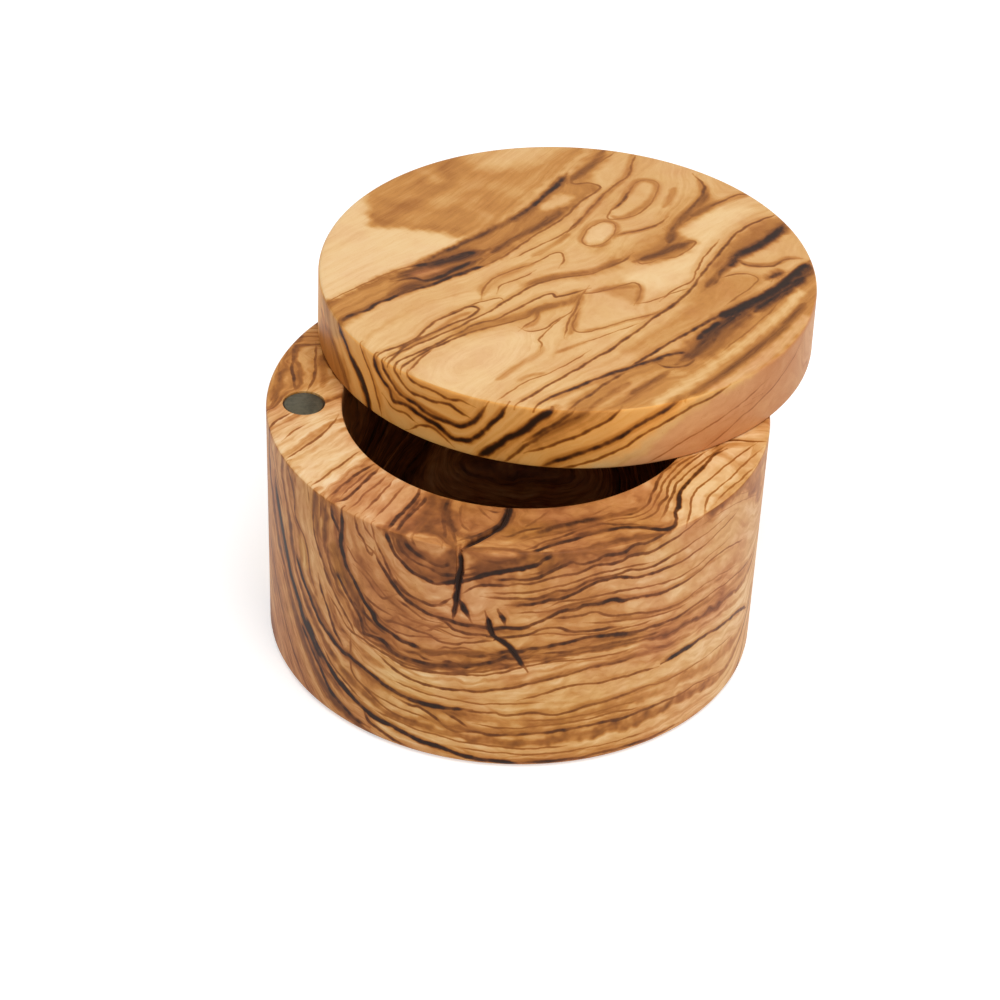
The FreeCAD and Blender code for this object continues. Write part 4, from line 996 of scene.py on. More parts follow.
BODY_SIDE_LINES = (
    (0.35, ((231, 47.3), (234.3, 45.9), (236.6, 43.6), (238.6, 40.6), (241.7, 37.9), (246, 35.2))),
    (0.3, ((239.8, 42.6), (242.2, 39.9), (245.4, 38.1), (249.2, 37.4), (252.6, 38.6))),
    (0.4, ((231.8, 34.4), (234.3, 32.3), (236.2, 30.2), (239, 29.2), (243, 28.6), (248, 29.6), (252, 30.2))),
    (0.5, ((229.6, 33.2), (231.4, 30.6), (232.2, 28), (234.6, 26.4), (237.4, 26.6))),
    (0.3, ((244.5, 30.9), (248, 32.4), (251.5, 32.2), (255, 31.4), (259.4, 32))),
    (0.45, ((236.4, 23.2), (241, 21.4), (247, 21), (253, 22), (259, 23.1), (265, 24.7), (270, 26.4))),
    (0.35, ((227, 44.5), (229, 42.2), (232.6, 40.3), (236, 37.8), (239.5, 35.3), (244, 33.6))),
    # nested loops round the crack, from the inside out
    (0.6, ((258, 51.6), (259.5, 50.6), (261, 50.2), (264, 50.2), (266, 50.6), (268, 51.5), (268.8, 52.4))),
    (0.75, ((242, 52.4), (242.8, 50.6), (244.5, 49.3), (246.4, 48.7), (249.6, 47.6), (251.8, 47.6),
            (253.8, 49.3))),
    (0.5, ((243.7, 52.4), (244.5, 51), (245.6, 49.8))),
    (0.5, ((255.5, 47.5), (258, 48.2), (260, 48.8), (263, 49), (266, 49), (270, 49.9), (272.5, 51.5),
           (273, 52.4))),
    (0.7, ((240.2, 52.4), (240.8, 50.5), (241.8, 48.8), (243.5, 47.6), (246, 46.8), (248, 46.5),
           (249.8, 45.8), (251.5, 45.4), (253.5, 45.8), (255.5, 46.2), (258, 46.8), (261, 47.6))),
    (0.55, ((239, 52.4), (239.6, 50.5), (240.2, 49), (241.5, 47.4), (243, 46.3))),
    (1.0, ((237.6, 52.4), (238, 51), (238.8, 49.5), (239.5, 48), (240.5, 47), (242, 45.7), (244, 44.5),
           (246, 43.9), (248, 43.4), (250, 43), (252, 43.5), (254, 44.2), (256, 45), (258, 45.8),
           (260, 46.5), (262, 47.4), (265, 48.3), (268, 48.9), (270, 49.4), (272, 50), (273.5, 51),
           (276, 52.4))),
    (0.6, ((235, 48.5), (236.3, 46.5), (237.3, 45), (238.2, 43.5), (239, 42), (240, 41), (241.5, 40),
           (243.5, 38.7), (246, 38), (248.5, 37.5), (250.5, 38), (252, 39), (253.5, 40.3))),
    (0.35, ((231.5, 52.4), (232.3, 50.5), (233.7, 49.3), (235, 48.5))),
    (0.4, ((233.7, 52.4), (234.3, 50.5), (235, 48.5))),
    (0.8, ((235, 46), (235.5, 44.5), (236.5, 43.3), (237.5, 42.3), (238.8, 41), (239.5, 40.2), (241, 39),
           (242, 38), (243.5, 37.2), (246, 36), (248, 35.3), (250, 35), (252.5, 35.2), (256, 34.6),
           (259, 34.7), (262, 34.4), (266, 34.6), (270, 35), (272.5, 36), (275, 37.3), (277, 38.4),
           (279, 38.6), (281, 38.5), (283, 39.3), (286, 39.3), (289, 39.8), (290.5, 39.6), (292, 38.9),
           (297, 38.3), (302, 37.8), (308, 37.9), (313, 38.5), (317, 39.5), (322, 39.5), (331, 37.3))),
    (0.5, ((229.5, 52.4), (229.8, 50), (230.3, 48.7), (231.5, 47.8), (232.3, 46.5), (233, 45.3),
           (234, 44.7), (234.7, 46), (235.3, 45.6))),
    (0.5, ((240.5, 36.8), (242.5, 36), (244.5, 35), (246.5, 34), (248.5, 33.7))),
    (0.6, ((250, 34.4), (252, 34.6), (253.3, 33.8), (254.5, 33), (257, 32.7), (260, 32.6), (265, 32.3),
           (268, 32.6), (270, 33.1), (272.5, 34), (275, 34.6), (278, 34.4), (280, 33.6), (283, 33),
           (288, 33), (291, 32.5))),
    (0.5, ((230, 40.3), (231.5, 39.5), (233, 38.5), (234.5, 37.3), (235.5, 36.3), (237, 35.6),
           (238.5, 36.3), (240, 37.5))),
    (0.3, ((236, 37.2), (237.5, 37.8), (239.5, 37.8))),
    (1.0, ((225.3, 52.4), (225.6, 50), (225.5, 47.5), (225.3, 45), (225.6, 42.5), (226.3, 40.5),
           (227.2, 39), (228.5, 37.5), (229.8, 36), (230.8, 34.5), (231.8, 33), (233.2, 32),
           (234.3, 31.2), (235, 30), (235.8, 29), (237.2, 28.4), (239, 28.1), (240, 27.7),
           (241.5, 27.1), (243, 26.8), (245.5, 26.6), (247, 26))),
    (0.8, ((222.5, 52.4), (222.4, 50.5), (223, 49), (224, 47.5), (225.1, 45.7))),
    (0.5, ((220.5, 42), (221, 39), (222, 36.5), (223.5, 34.5), (225, 33))),
    (0.8, ((223.7, 37.5), (224.5, 35.5), (226, 33.5), (227.5, 32), (229, 30.5), (230.5, 29), (231.3, 27.5),
           (231.6, 26), (232.3, 25.1), (235, 25.2), (237.5, 25.2), (238.5, 24.3), (239.5, 23.5),
           (241, 23.1), (243, 23), (246, 23), (249, 23.2), (251, 23.4), (253, 23.8), (256, 24.4),
           (258, 24.6), (260, 25.2), (262, 26), (264, 26.6), (266, 27.6), (268, 28.8))),
    (0.55, ((230, 29), (230.2, 27.5), (230.6, 26), (231.6, 24.6))),
    (0.5, ((228.5, 35.5), (228.2, 34), (228.5, 32.5), (229.2, 31.2))),
    (0.6, ((231, 33), (231.4, 31.5), (232, 30), (233.5, 29.3), (235, 28.5), (237, 27.7), (239.5, 27.1))),
    (0.5, ((241, 25.2), (243, 24.7), (245.5, 24.9), (247.5, 24.4), (250, 24.4))),
    (0.6, ((247, 26), (249, 25.6), (251, 26.2), (253, 27), (255, 27.4), (257.5, 27.2), (260, 27.3),
           (263, 28))),
    (0.9, ((251, 24), (253, 24.6), (255, 24.3), (257, 24.1), (260, 24.9))),
    (0.5, ((250, 26.8), (252, 28.2), (254, 28.3), (256, 28.8), (259, 28.6))),
    (0.5, ((236, 31), (238, 30.4), (240, 31), (243, 30.9), (246, 30.6), (248.5, 30.3), (250, 29.7),
           (252.5, 29.3), (255, 29.5), (256.5, 30.2), (258.5, 30.5), (260.5, 31), (263, 31.4))),
    (0.45, ((247.5, 31), (249, 31.8), (250.5, 32.8), (252.5, 33.1), (253.5, 33.9))),
    (0.45, ((225.5, 25.8), (227, 24.7), (229, 23.9), (232, 23.5), (235, 22.8), (240, 22.1), (245, 21.6),
            (250, 21.5), (255, 22), (260, 22.5), (265, 23.6), (270, 25.2), (274, 26), (277, 26.7),
            (280, 26.9))),
    (0.35, ((240, 33.6), (244, 32.7), (248, 32.3), (252, 31.6))),
    (0.4, ((231, 35.5), (233, 34), (236, 33), (240, 32.2))),
    # upper right
    (0.35, ((262, 42.7), (268, 43), (274, 44), (280, 45.3), (286, 46.5), (292, 46.8), (298, 46.3))),
    (0.35, ((268, 38.3), (274, 38.6), (280, 39.8), (286, 40.6))),
    (0.3, ((270, 33.2), (276, 33.2), (284, 32.2), (292, 31.9), (300, 31.6))),
    (0.3, ((284, 35), (292, 33.8), (300, 32.6), (310, 32.2))),
    (0.55, ((256, 42), (258, 43.5), (260, 44.3), (263, 44.7), (266, 44.7), (268, 45.2), (270, 45.3),
            (272, 45.8), (275, 46.6), (278, 47.2), (281, 47.3), (283, 48), (285, 48.6), (288, 48.4),
            (291, 48.6), (293, 49.2), (296, 49), (299, 48.9), (303, 49.8), (307, 50.5), (313, 52.2))),
    (0.65, ((262.5, 46), (266, 46.3), (270, 46.4), (273, 47.3), (275, 48.3), (277, 49.3), (279, 49.8),
            (280, 49.9), (281, 49.4), (283, 49.5), (285, 49.9), (287, 50.7), (290, 50.3), (292, 50.5),
            (294, 51.4), (297, 51.2), (300, 51.8), (303, 52.3))),
    (0.45, ((270, 47.6), (273, 48.2), (275, 49.2), (277, 50.5), (278.5, 51.2), (280, 52), (282.5, 51.9),
            (285, 51.2), (287, 50.9))),
    (0.5, ((261, 41.7), (263.5, 41.8), (266, 41.6), (269, 41.8), (272, 41.9), (275, 42.8), (277, 43.5),
           (280, 43.7), (283, 44.8), (285, 45.2), (288, 45.4), (291, 45.6), (293, 45.9), (296, 45.2),
           (300, 45.2), (305, 46), (309, 46.5), (313, 47), (322, 48))),
    (0.7, ((266.5, 40.2), (269, 40.3), (271.5, 40.5), (275, 41.4), (277, 41.3), (280, 42.4), (283, 43.6),
           (285, 44.3), (288, 44.8), (291, 44.7), (294, 43.7), (297, 43.4), (302, 43.4), (308, 43.5),
           (313, 44.3), (318, 45.2), (326, 46.5))),
    (0.35, ((275, 39.8), (277, 40.6), (279, 40.8), (282, 40.8), (285, 41.2), (290, 41.4), (298, 40.5),
            (304, 39.9), (310, 40.1), (316, 41), (324, 41.5))),
    (0.5, ((276, 37), (279, 37), (282, 37), (285, 37.4), (288, 36.3), (291, 35.3), (296, 34.5),
           (300, 33.7), (306, 33.2), (311, 33.6), (316, 34.3), (322, 33.7), (328, 32.5))),
    (0.8, ((263, 28.2), (266, 28.7), (269, 29), (271.5, 29.8), (275, 30.2), (278, 30.7), (281, 31),
            (284, 31.3), (287, 31.3), (290, 30.9), (294, 30.4), (298, 30.1), (302, 29.9), (308, 30),
            (314, 30.6), (320, 30.6), (326, 30), (332, 29.3), (338, 28.5))),
    (0.5, ((273, 28.6), (277, 28.5), (280, 28.4), (283, 28.9), (286, 28.7), (290, 29), (294, 28.7),
           (298, 28.3), (303, 28.2))),
    (0.3, ((275, 26), (280, 26.4), (285, 26.3), (290, 26), (295, 26.2))),
    (0.25, ((320, 52), (327, 50.5), (333, 48), (340, 45))),
    (0.3, ((312, 50), (320, 50), (326, 48.8), (332, 46.8), (338, 44.3), (342, 42.5))),
    # lower part
    (0.5, ((236, 21.5), (238, 20.5), (241, 19), (244, 18.4), (248, 18), (252, 17.9), (256, 18.3),
           (260, 18.5), (263, 19.2), (266, 19.7), (269, 20.3), (272, 21.3), (276, 22), (280, 22.8),
           (283, 23.6), (286, 24.1), (290, 23.7), (293, 23.8), (298, 24.2))),
    (0.45, ((270, 17.3), (274, 18.2), (278, 19.3), (281, 19.9), (285, 19.9), (289, 19.5), (294, 19.7),
            (302, 19.4))),
    (1.05, ((208, 33), (209.3, 31.2), (210.5, 29.3), (212, 27.5), (214, 25.8), (216, 23.7), (218, 21.8),
           (220, 20.6), (222, 19.5), (224.5, 18.2), (226, 17.6), (228, 17.6), (230, 17), (232, 16.4),
           (234, 15.8), (236, 15.2), (238, 14.5), (241, 13.8), (244, 13.3), (248, 13.1), (252, 13.2),
           (255, 13.5), (258, 13.8))),
    (0.45, ((256, 13.4), (261, 13.5), (264, 13.6), (265, 13.2), (266.5, 13), (269, 13.4), (272, 14),
            (274, 13.7), (276, 13.1), (278, 13), (281, 13.5), (284, 14.2), (288, 14.5), (292, 15),
            (296, 15.2), (300, 15.5), (304, 14.9), (310, 14.9), (316, 14.8), (322, 14.7), (330, 14.2))),
    (0.4, ((228.2, 22.5), (228, 20), (227.8, 18), (228, 16.5), (228.5, 14.5), (230, 13), (233, 11.5),
           (236, 9.8), (239, 8.6), (242, 8.1), (247, 8))),
    (0.55, ((241, 12.6), (244, 12), (246.5, 12), (248.5, 11.2), (250.5, 10), (252, 9), (254, 8.2),
           (256, 7.9), (258, 8.2))),
    (0.6, ((256, 8), (260, 8.3), (263, 8), (266, 8), (270, 8.3), (275, 8.6), (280, 9), (285, 9.3),
            (290, 9.4), (294, 9.1), (300, 9.6), (306, 9.5), (312, 9.2), (316, 9.3), (321, 8.2),
            (325, 7.2), (330, 6))),
    (0.6, ((251, 12.6), (253, 12), (255, 11.2), (257, 10), (258.5, 8.8))),
    (0.3, ((260, 10.5), (265, 10), (270, 10), (275, 10.4), (280, 10.6), (290, 11.2), (298, 10.8))),
    (0.25, ((270, 12), (278, 11.7), (288, 12.4), (298, 12.7))),
    (0.25, ((240, 16.5), (250, 15.6), (262, 15.8), (274, 16.4))),
    (0.25, ((232, 12), (238, 10.6), (246, 10), (250, 9))),
    (0.25, ((256, 4), (268, 3.4), (284, 3.4), (300, 3.6))),
    (1.3, ((212, 20), (216, 16), (219, 13.4), (223, 10.6), (225, 9.5), (228, 8.1), (231, 6.8), (233, 6.1),
           (236, 5.3), (239, 5), (242, 4.5), (245, 3.8), (248, 3.3), (251, 3.1), (254, 2.7), (257, 2),
           (260, 1.7), (265, 1.4), (270, 1.2))),
    (0.75, ((232, 6.2), (233, 4.5), (234, 3.5), (236, 2.8), (238, 2.2), (241, 1.5), (244, 1))),
    (1.0, ((210, 17), (213, 14.3), (216, 11.6), (219, 8.6), (221, 6.6), (223, 5.2), (226, 4), (229, 3), (233, 2.4))),
    (0.55, ((224, 3.5), (227, 2.5), (230, 1.6), (233, 1))),
    (0.3, ((235, 7.5), (240, 6.8), (246, 6.2), (252, 6), (258, 5.5), (264, 5.3), (270, 4.8), (280, 5))),
    (0.7, ((270, 1.2), (280, 1.3), (290, 1.6), (300, 1.4), (310, 1.8))),
    (2.0, ((304.5, 19.9), (307, 20.2), (310, 20.6), (313, 20.4), (316, 20.8), (320, 20.5), (324, 19.8),
            (328, 19.3), (332, 18.5), (336, 17.3), (340, 15))),
    # limbs of the loops on the left
    (0.5, ((203.5, 52.4), (205, 50.8), (206.3, 49.3), (207.5, 47), (208, 45), (207.8, 43), (208.3, 41.5),
           (210, 40.4), (212.2, 38.7), (213.5, 36), (214, 33.5), (214.5, 31), (216.5, 28.3))),
    (0.35, ((213.5, 52.4), (214, 50), (214.3, 47.5))),
    (0.6, ((216, 52), (216, 48), (216, 44), (216.6, 41), (218, 38.5), (219.5, 36.5), (220.5, 34.5),
           (222, 32.5), (223, 31))),
    (0.5, ((218.2, 52.4), (218.6, 49), (218.2, 46))),
    (0.5, ((220.5, 52.4), (220.2, 49), (220.2, 45), (219.5, 42.5))),
    (0.65, ((218, 32), (219, 29), (220.5, 26.5), (221.5, 24.5), (223, 22), (224.5, 20.3), (226, 18.5))),
    (0.35, ((221, 30), (224, 27.5), (226, 25.6))),
    (0.5, ((192, 50), (196, 46), (199, 42.5), (201, 39.5))),
    (1.6, ((196, 43), (198, 39.5), (200, 35.8), (202, 32.3), (204, 28.8), (206, 25.5), (209, 22), (211, 19.4),
           (214, 16.4), (217, 13.6), (219, 12))),
    (0.5, ((201, 26), (204, 21.8), (207, 17.8), (210, 14), (213, 10.2), (216, 7), (219, 4.8), (222, 3))),
    (0.45, ((214.5, 27.5), (217, 24.8), (219.5, 22.8), (222, 21.3))),
    (0.5, ((219.5, 36), (221, 33.2), (223, 31), (225, 28.8), (227.5, 26.3), (229.5, 24))),
    (0.45, ((219.5, 15.5), (222, 13), (225, 11.3), (228, 9.8), (231, 8.7))),
)

# Open cracks: places on the rim or the side, each with the half width of the crack there
CRACKS = (
    ("main_crack", ((BODY_RIM, -3.1, -34.0, 0.16), (BODY_RIM, -3.6, -37.5, 0.24),
                    (BODY_RIM, -4.8, -41.0, 0.34), (BODY_RIM, -7.4, -43.8, 0.46),
                    (BODY_RIM, -10.0, -46.0, 0.6), (BODY_RIM, -13.0, -48.2, 0.62),
                    (BODY_SIDE, 254.9, 51.6, 0.55), (BODY_SIDE, 255.2, 49.5, 0.62),
                    (BODY_SIDE, 255.3, 47.0, 0.66), (BODY_SIDE, 254.9, 44.5, 0.55),
                    (BODY_SIDE, 254.6, 41.5, 0.42), (BODY_SIDE, 254.5, 38.5, 0.38),
                    (BODY_SIDE, 254.3, 36.6, 0.28), (BODY_SIDE, 254.2, 35.4, 0.1))),
    ("side_branch", ((BODY_SIDE, 255.0, 40.6, 0.2), (BODY_SIDE, 256.0, 38.8, 0.26),
                     (BODY_SIDE, 257.0, 37.3, 0.22), (BODY_SIDE, 257.8, 36.0, 0.08))),
    ("lower_crack", ((BODY_SIDE, 261.4, 37.4, 0.12), (BODY_SIDE, 261.9, 36.0, 0.5),
                     (BODY_SIDE, 262.3, 34.4, 0.5), (BODY_SIDE, 263.2, 32.6, 0.34),
                     (BODY_SIDE, 264.8, 31.5, 0.38), (BODY_SIDE, 266.3, 30.1, 0.3),
                     (BODY_SIDE, 267.5, 28.7, 0.4), (BODY_SIDE, 268.7, 27.2, 0.24),
                     (BODY_SIDE, 270.4, 24.8, 0.08))),
    ("small_crack", ((BODY_SIDE, 264.4, 38.2, 0.12), (BODY_SIDE, 265.0, 36.9, 0.2),
                     (BODY_SIDE, 265.4, 35.6, 0.08))),
)


RIM_INK = 0.1
BODY_INK = 0.14


def crack_lines():
    """The cracks again as lines, which draw them black along their length."""
    for _, points in CRACKS:
        for face in (BODY_RIM, BODY_SIDE):
            own = tuple((across, up) for on, across, up, _ in points if on is face)
            if own:
                yield face, 1.5, own


BODY_LINES = ([(BODY_RIM, ink + RIM_INK, points) for ink, points in BODY_RIM_LINES]
              + [(BODY_SIDE, ink + BODY_INK, points) for ink, points in BODY_SIDE_LINES]
              + list(crack_lines()))

BODY_STREAKS = (
    # rim
    (BODY_RIM, 0.9, ((-48.8, 0), (-47.2, 10), (-45.6, 18), (-43, 25))),
    (BODY_RIM, 0.8, ((-39, 18), (-38.6, 10), (-39, 5))),
    (BODY_RIM, 0.9, ((-21, -33), (-24, -38), (-27.5, -43))),
    (BODY_RIM, 0.9, ((-17.5, -31), (-19, -36), (-22.5, -42), (-24, -44))),
    (BODY_RIM, 1.0, ((-15.3, -32), (-15.2, -38), (-13.5, -43), (-10, -45.5))),
    (BODY_RIM, 1.0, ((-3.5, -35), (-5, -41), (-9, -45), (-13, -48))),
    (BODY_RIM, 0.6, ((-2, -45.5), (4, -42), (10, -39.5), (18, -37), (22, -34.5))),
    (BODY_RIM, 0.7, ((2, -48), (10, -44), (18, -41.3), (26, -41), (28.3, -38))),
    (BODY_RIM, 0.7, ((-32, -25), (-36, -31), (-39, -35))),
    # left of the side
    (BODY_SIDE, 1.9, ((196, 44), (198, 39.2), (200, 35.2), (204, 28.4), (209, 21.8), (212, 18.3), (217, 13.4),
                      (222, 9.8), (230, 6.8))),
    (BODY_SIDE, 0.9, ((203, 21), (208, 15.5), (213, 11), (218, 7), (224, 4), (232, 2.5))),
    (BODY_SIDE, 0.7, ((201, 25), (205, 19), (211, 12), (216, 6.5), (221, 3.2))),
    (BODY_SIDE, 1.0, ((209, 33), (212, 28.7), (218, 23.8), (222, 20), (227, 17.4), (232, 16), (240, 14),
                      (250, 13), (258, 12.6))),
    (BODY_SIDE, 1.0, ((207, 53), (207.5, 47), (209, 42), (211.5, 38), (214, 31), (217, 27))),
    (BODY_SIDE, 1.4, ((222, 53), (224.5, 48.5), (225.6, 43), (227.6, 36.5), (230.5, 31))),
    (BODY_SIDE, 1.1, ((216.5, 53), (217, 46), (219, 39), (223, 33), (228, 28.5), (231, 25.3))),
    (BODY_SIDE, 0.9, ((220.5, 30), (222.5, 26), (226, 22.5), (231, 20.5), (238, 18.7))),
    (BODY_SIDE, 1.3, ((255, 52), (255, 48), (254.8, 43))),
    # under the loops
    (BODY_SIDE, 1.0, ((229, 32), (231, 28), (233, 26))),
    (BODY_SIDE, 0.7, ((234, 25), (238.5, 24.6), (243, 22.8), (250, 23), (256, 24.2), (262, 26))),
    (BODY_SIDE, 0.55, ((238, 28.2), (243, 27), (248, 26.2), (255, 27.5), (262, 28.4))),
    (BODY_SIDE, 0.9, ((262, 27.8), (270, 29.2), (278, 30.2), (286, 30.8), (297, 29.9))),
    (BODY_SIDE, 0.8, ((262, 27), (270, 27.6), (278, 28), (288, 28.5), (297, 28.2))),
    (BODY_SIDE, 0.9, ((238.5, 44.5), (241, 40.5), (246, 37), (254, 35.4), (262, 34), (270, 34.6))),
    (BODY_SIDE, 0.9, ((240, 51), (243, 47), (249, 44), (255, 45.5), (262, 49), (270, 51.5))),
    (BODY_SIDE, 0.8, ((266, 40.2), (272, 41.2), (278, 43), (284, 45), (290, 45.2))),
    # lower right
    (BODY_SIDE, 1.1, ((246, 9.2), (256, 9), (262, 8.9), (268, 8.8), (278, 9.2), (290, 9.7), (302, 9.6))),
    (BODY_SIDE, 1.2, ((228, 8.2), (236, 5.8), (244, 4), (254, 2.5), (266, 1.7), (285, 1.6), (305, 1.8))),
    (BODY_SIDE, 0.8, ((268, 14), (280, 14.2), (290, 15), (305, 15.2), (320, 14.6))),
    (BODY_SIDE, 0.8, ((266, 20), (276, 22.5), (286, 24), (298, 24), (312, 23))),
    (BODY_SIDE, 0.8, ((272, 37.5), (280, 39), (290, 39.4), (302, 38), (316, 39), (330, 37.5))),
    (BODY_SIDE, 0.8, ((290, 34.9), (300, 33.3), (312, 33.3), (326, 32.5))),
    (BODY_SIDE, 1.0, ((304, 20.3), (316, 20.8), (326, 19.5), (337, 16.4))),
)

BODY_STAINS = (
    # rim
    (BODY_RIM, "patch", 0.36, 0.1, 2.5, ((-52, 0), (-44, 1), (-36, 4), (-34, 20), (-40, 30), (-52, 24))),
    (BODY_RIM, "patch", 0.2, 0.45, 3.0, ((-50, -6), (-36, -3), (-33, -14), (-29, -20), (-36, -33),
                                         (-44, -26), (-51, -14))),
    (BODY_RIM, "patch", 0.27, 0.75, 2.0, ((-30, -19), (-20, -28), (-17, -30), (-20, -40), (-22, -46),
                                          (-28, -42), (-38, -33))),
    (BODY_RIM, "patch", 0.44, 0.55, 3.0, ((-20, -27), (-17, -34), (-18, -50), (10, -53), (28, -45),
                                         (29, -36), (24, -25), (12, -32), (0, -34.5), (-12, -32))),
    (BODY_RIM, "patch", 0.56, 0.4, 3.0, ((-12, -34), (-14, -47), (-4, -47), (8, -44), (13, -38), (6, -34))),
    (BODY_RIM, "patch", 0.5, 0.5, 1.0, ((-13, -33), (-14, -42), (-12.5, -44.5), (-9, -43.5), (-5.5, -41),
                                         (-3.5, -36), (-4, -33))),
    (BODY_RIM, "patch", 0.45, 0.7, 2.0, ((2, -35), (1, -39), (8, -40), (13, -37.5), (15, -34), (8, -34))),
    (BODY_RIM, "patch", 0.16, 0.3, 3.0, ((24, -26), (30, -24), (34, -12), (44, -8), (50, -12),
                                         (50, -24), (40, -38), (29, -42), (27, -33))),
    (BODY_RIM, "patch", 0.15, 0.3, 3.0, ((31, -40), (31, -33), (34, -26), (40, -18), (46, -13),
                                          (50, -22), (40, -38), (30, -46))),
    # side
    (BODY_SIDE, "patch", 0.38, 0.7, 4.0, ((222, 56), (222, 40), (230, 28), (245, 27), (262, 30),
                                          (262, 40), (266, 56))),
    (BODY_SIDE, "patch", 0.5, 0.5, 1.6, ((227, 38), (229.5, 31), (233, 25.5), (239, 22.6), (250, 22),
                                         (262, 24.5), (270, 27.6), (262, 29), (252, 27.6), (244, 26.6),
                                         (238, 28.5), (233, 33.5))),
    (BODY_SIDE, "patch", 0.31, 0.25, 3.0, ((222, 14), (226, 17), (236, 21), (250, 20.5), (265, 22),
                                          (285, 22), (296, 21), (305, 12), (300, 2), (240, 3), (228, 9))),
    (BODY_SIDE, "patch", 0.27, 0.6, 5.0, ((288, 56), (290, 42), (296, 30), (300, 29), (350, 29),
                                          (350, 56))),
    (BODY_SIDE, "patch", 0.31, 0.45, 4.0, ((303, 20), (300, 12), (304, 2), (350, -2), (350, 24), (325, 23))),
    (BODY_SIDE, "patch", 0.46, 0.55, 4.0, ((170, -4), (170, 56), (210, 56), (213, 44), (213, 33),
                                           (214, 22), (219, 12), (226, 4), (232, -4))),
    (BODY_SIDE, "patch", 0.5, 0.7, 3.0, ((180, 1), (190, 18), (199, 18), (212, 6), (218, -2),
                                         (180, -2))),
    (BODY_SIDE, "patch", 0.42, 0.65, 3.0, ((213, 46), (213, 33), (217, 24), (224, 20), (227, 27), (222, 36), (221, 46))),
    (BODY_SIDE, "patch", 0.5, 0.4, 1.5, ((215, 43), (214.5, 54), (221, 54), (220.5, 43))),
    (BODY_SIDE, "patch", 0.58, 0.15, 1.2, ((221.5, 42), (223, 43.5), (225, 41.5), (226.3, 38),
                                           (226, 34), (224.5, 33.5), (223, 37))),
    (BODY_SIDE, "patch", 0.29, 0.1, 1.2, ((209.7, 38.5), (212, 38), (213.2, 35), (212.5, 31.5),
                                          (210.5, 33))),
    (BODY_SIDE, "patch", 0.48, 0.85, 2.5, ((297, 23.5), (300, 28), (310, 28), (318, 27.5), (328, 25),
                                           (326, 22.8), (312, 23), (304, 22))),
    (BODY_SIDE, "patch", 0.4, 0.6, 2.5, ((309, 48.5), (311, 52), (318, 54), (320, 51), (314, 48.5))),
)

BODY_HEART = np.array((-17.0, -62.0, 62.0))


def body_rings(places):
    """Rings about a heart that starts under the crack and runs off to the right."""
    offset = places - BODY_HEART
    offset[:, 0] = np.minimum(offset[:, 0], 0)
    return np.sqrt((offset ** 2).sum(1) + 9)


def body_seen(places):
    radius = np.hypot(places[:, 0], places[:, 1])
    angle = angles_about(BODY_AXIS, places)
    on_rim = (places[:, 2] > RIM_Z - 0.9 * MM) * band(angle, 160, 330, 12)
    on_side = (radius > FOOT_RADIUS - 1.2 * MM) * band(angle, 192, 335, 14)
    return np.maximum(on_rim, on_side)


def body_hollow_painted_shade(places):
    """Painted shade in the hollow: its wood is made darker than the outside below the rim, up to a tone of 0.68,
    standing in for the shadow inside it.
    """
    radius = np.hypot(places[:, 0], places[:, 1])
    inside = (radius < HOLLOW_RADIUS + 0.3 * MM) & (places[:, 2] > RIM_Z - HOLLOW_DEPTH - 1 * MM)
    return np.where(inside, 0.68 * ease((RIM_Z - places[:, 2]) / (2.5 * MM)), 0.0)


# Materials

GOLD = ((0.0, colour(247, 215, 164)), (0.15, colour(239, 198, 140)), (0.3, colour(222, 170, 104)),
        (0.45, colour(201, 138, 68)), (0.6, colour(170, 107, 44)), (0.75, colour(126, 73, 26)),
        (0.9, colour(70, 36, 11)), (1.0, colour(30, 14, 4)))
HONEY = ((0.0, colour(250, 206, 138)), (0.15, colour(246, 190, 112)), (0.3, colour(238, 168, 84)),
         (0.45, colour(214, 138, 58)), (0.6, colour(176, 106, 38)), (0.75, colour(128, 72, 23)),
         (0.9, colour(70, 36, 10)), (1.0, colour(30, 14, 3)))
ROSE = ((0.0, colour(246, 211, 172)), (0.15, colour(236, 189, 142)), (0.3, colour(218, 158, 106)),
        (0.45, colour(198, 130, 78)), (0.6, colour(164, 97, 53)), (0.75, colour(118, 65, 34)),
        (0.9, colour(68, 36, 18)), (1.0, colour(30, 15, 7)))


def add_sockets(group, inputs, outputs):
    for direction, sockets in (("INPUT", inputs), ("OUTPUT", outputs)):
        for name, kind in sockets:
            group.interface.new_socket(name=name, in_out=direction, socket_type="NodeSocket" + kind)


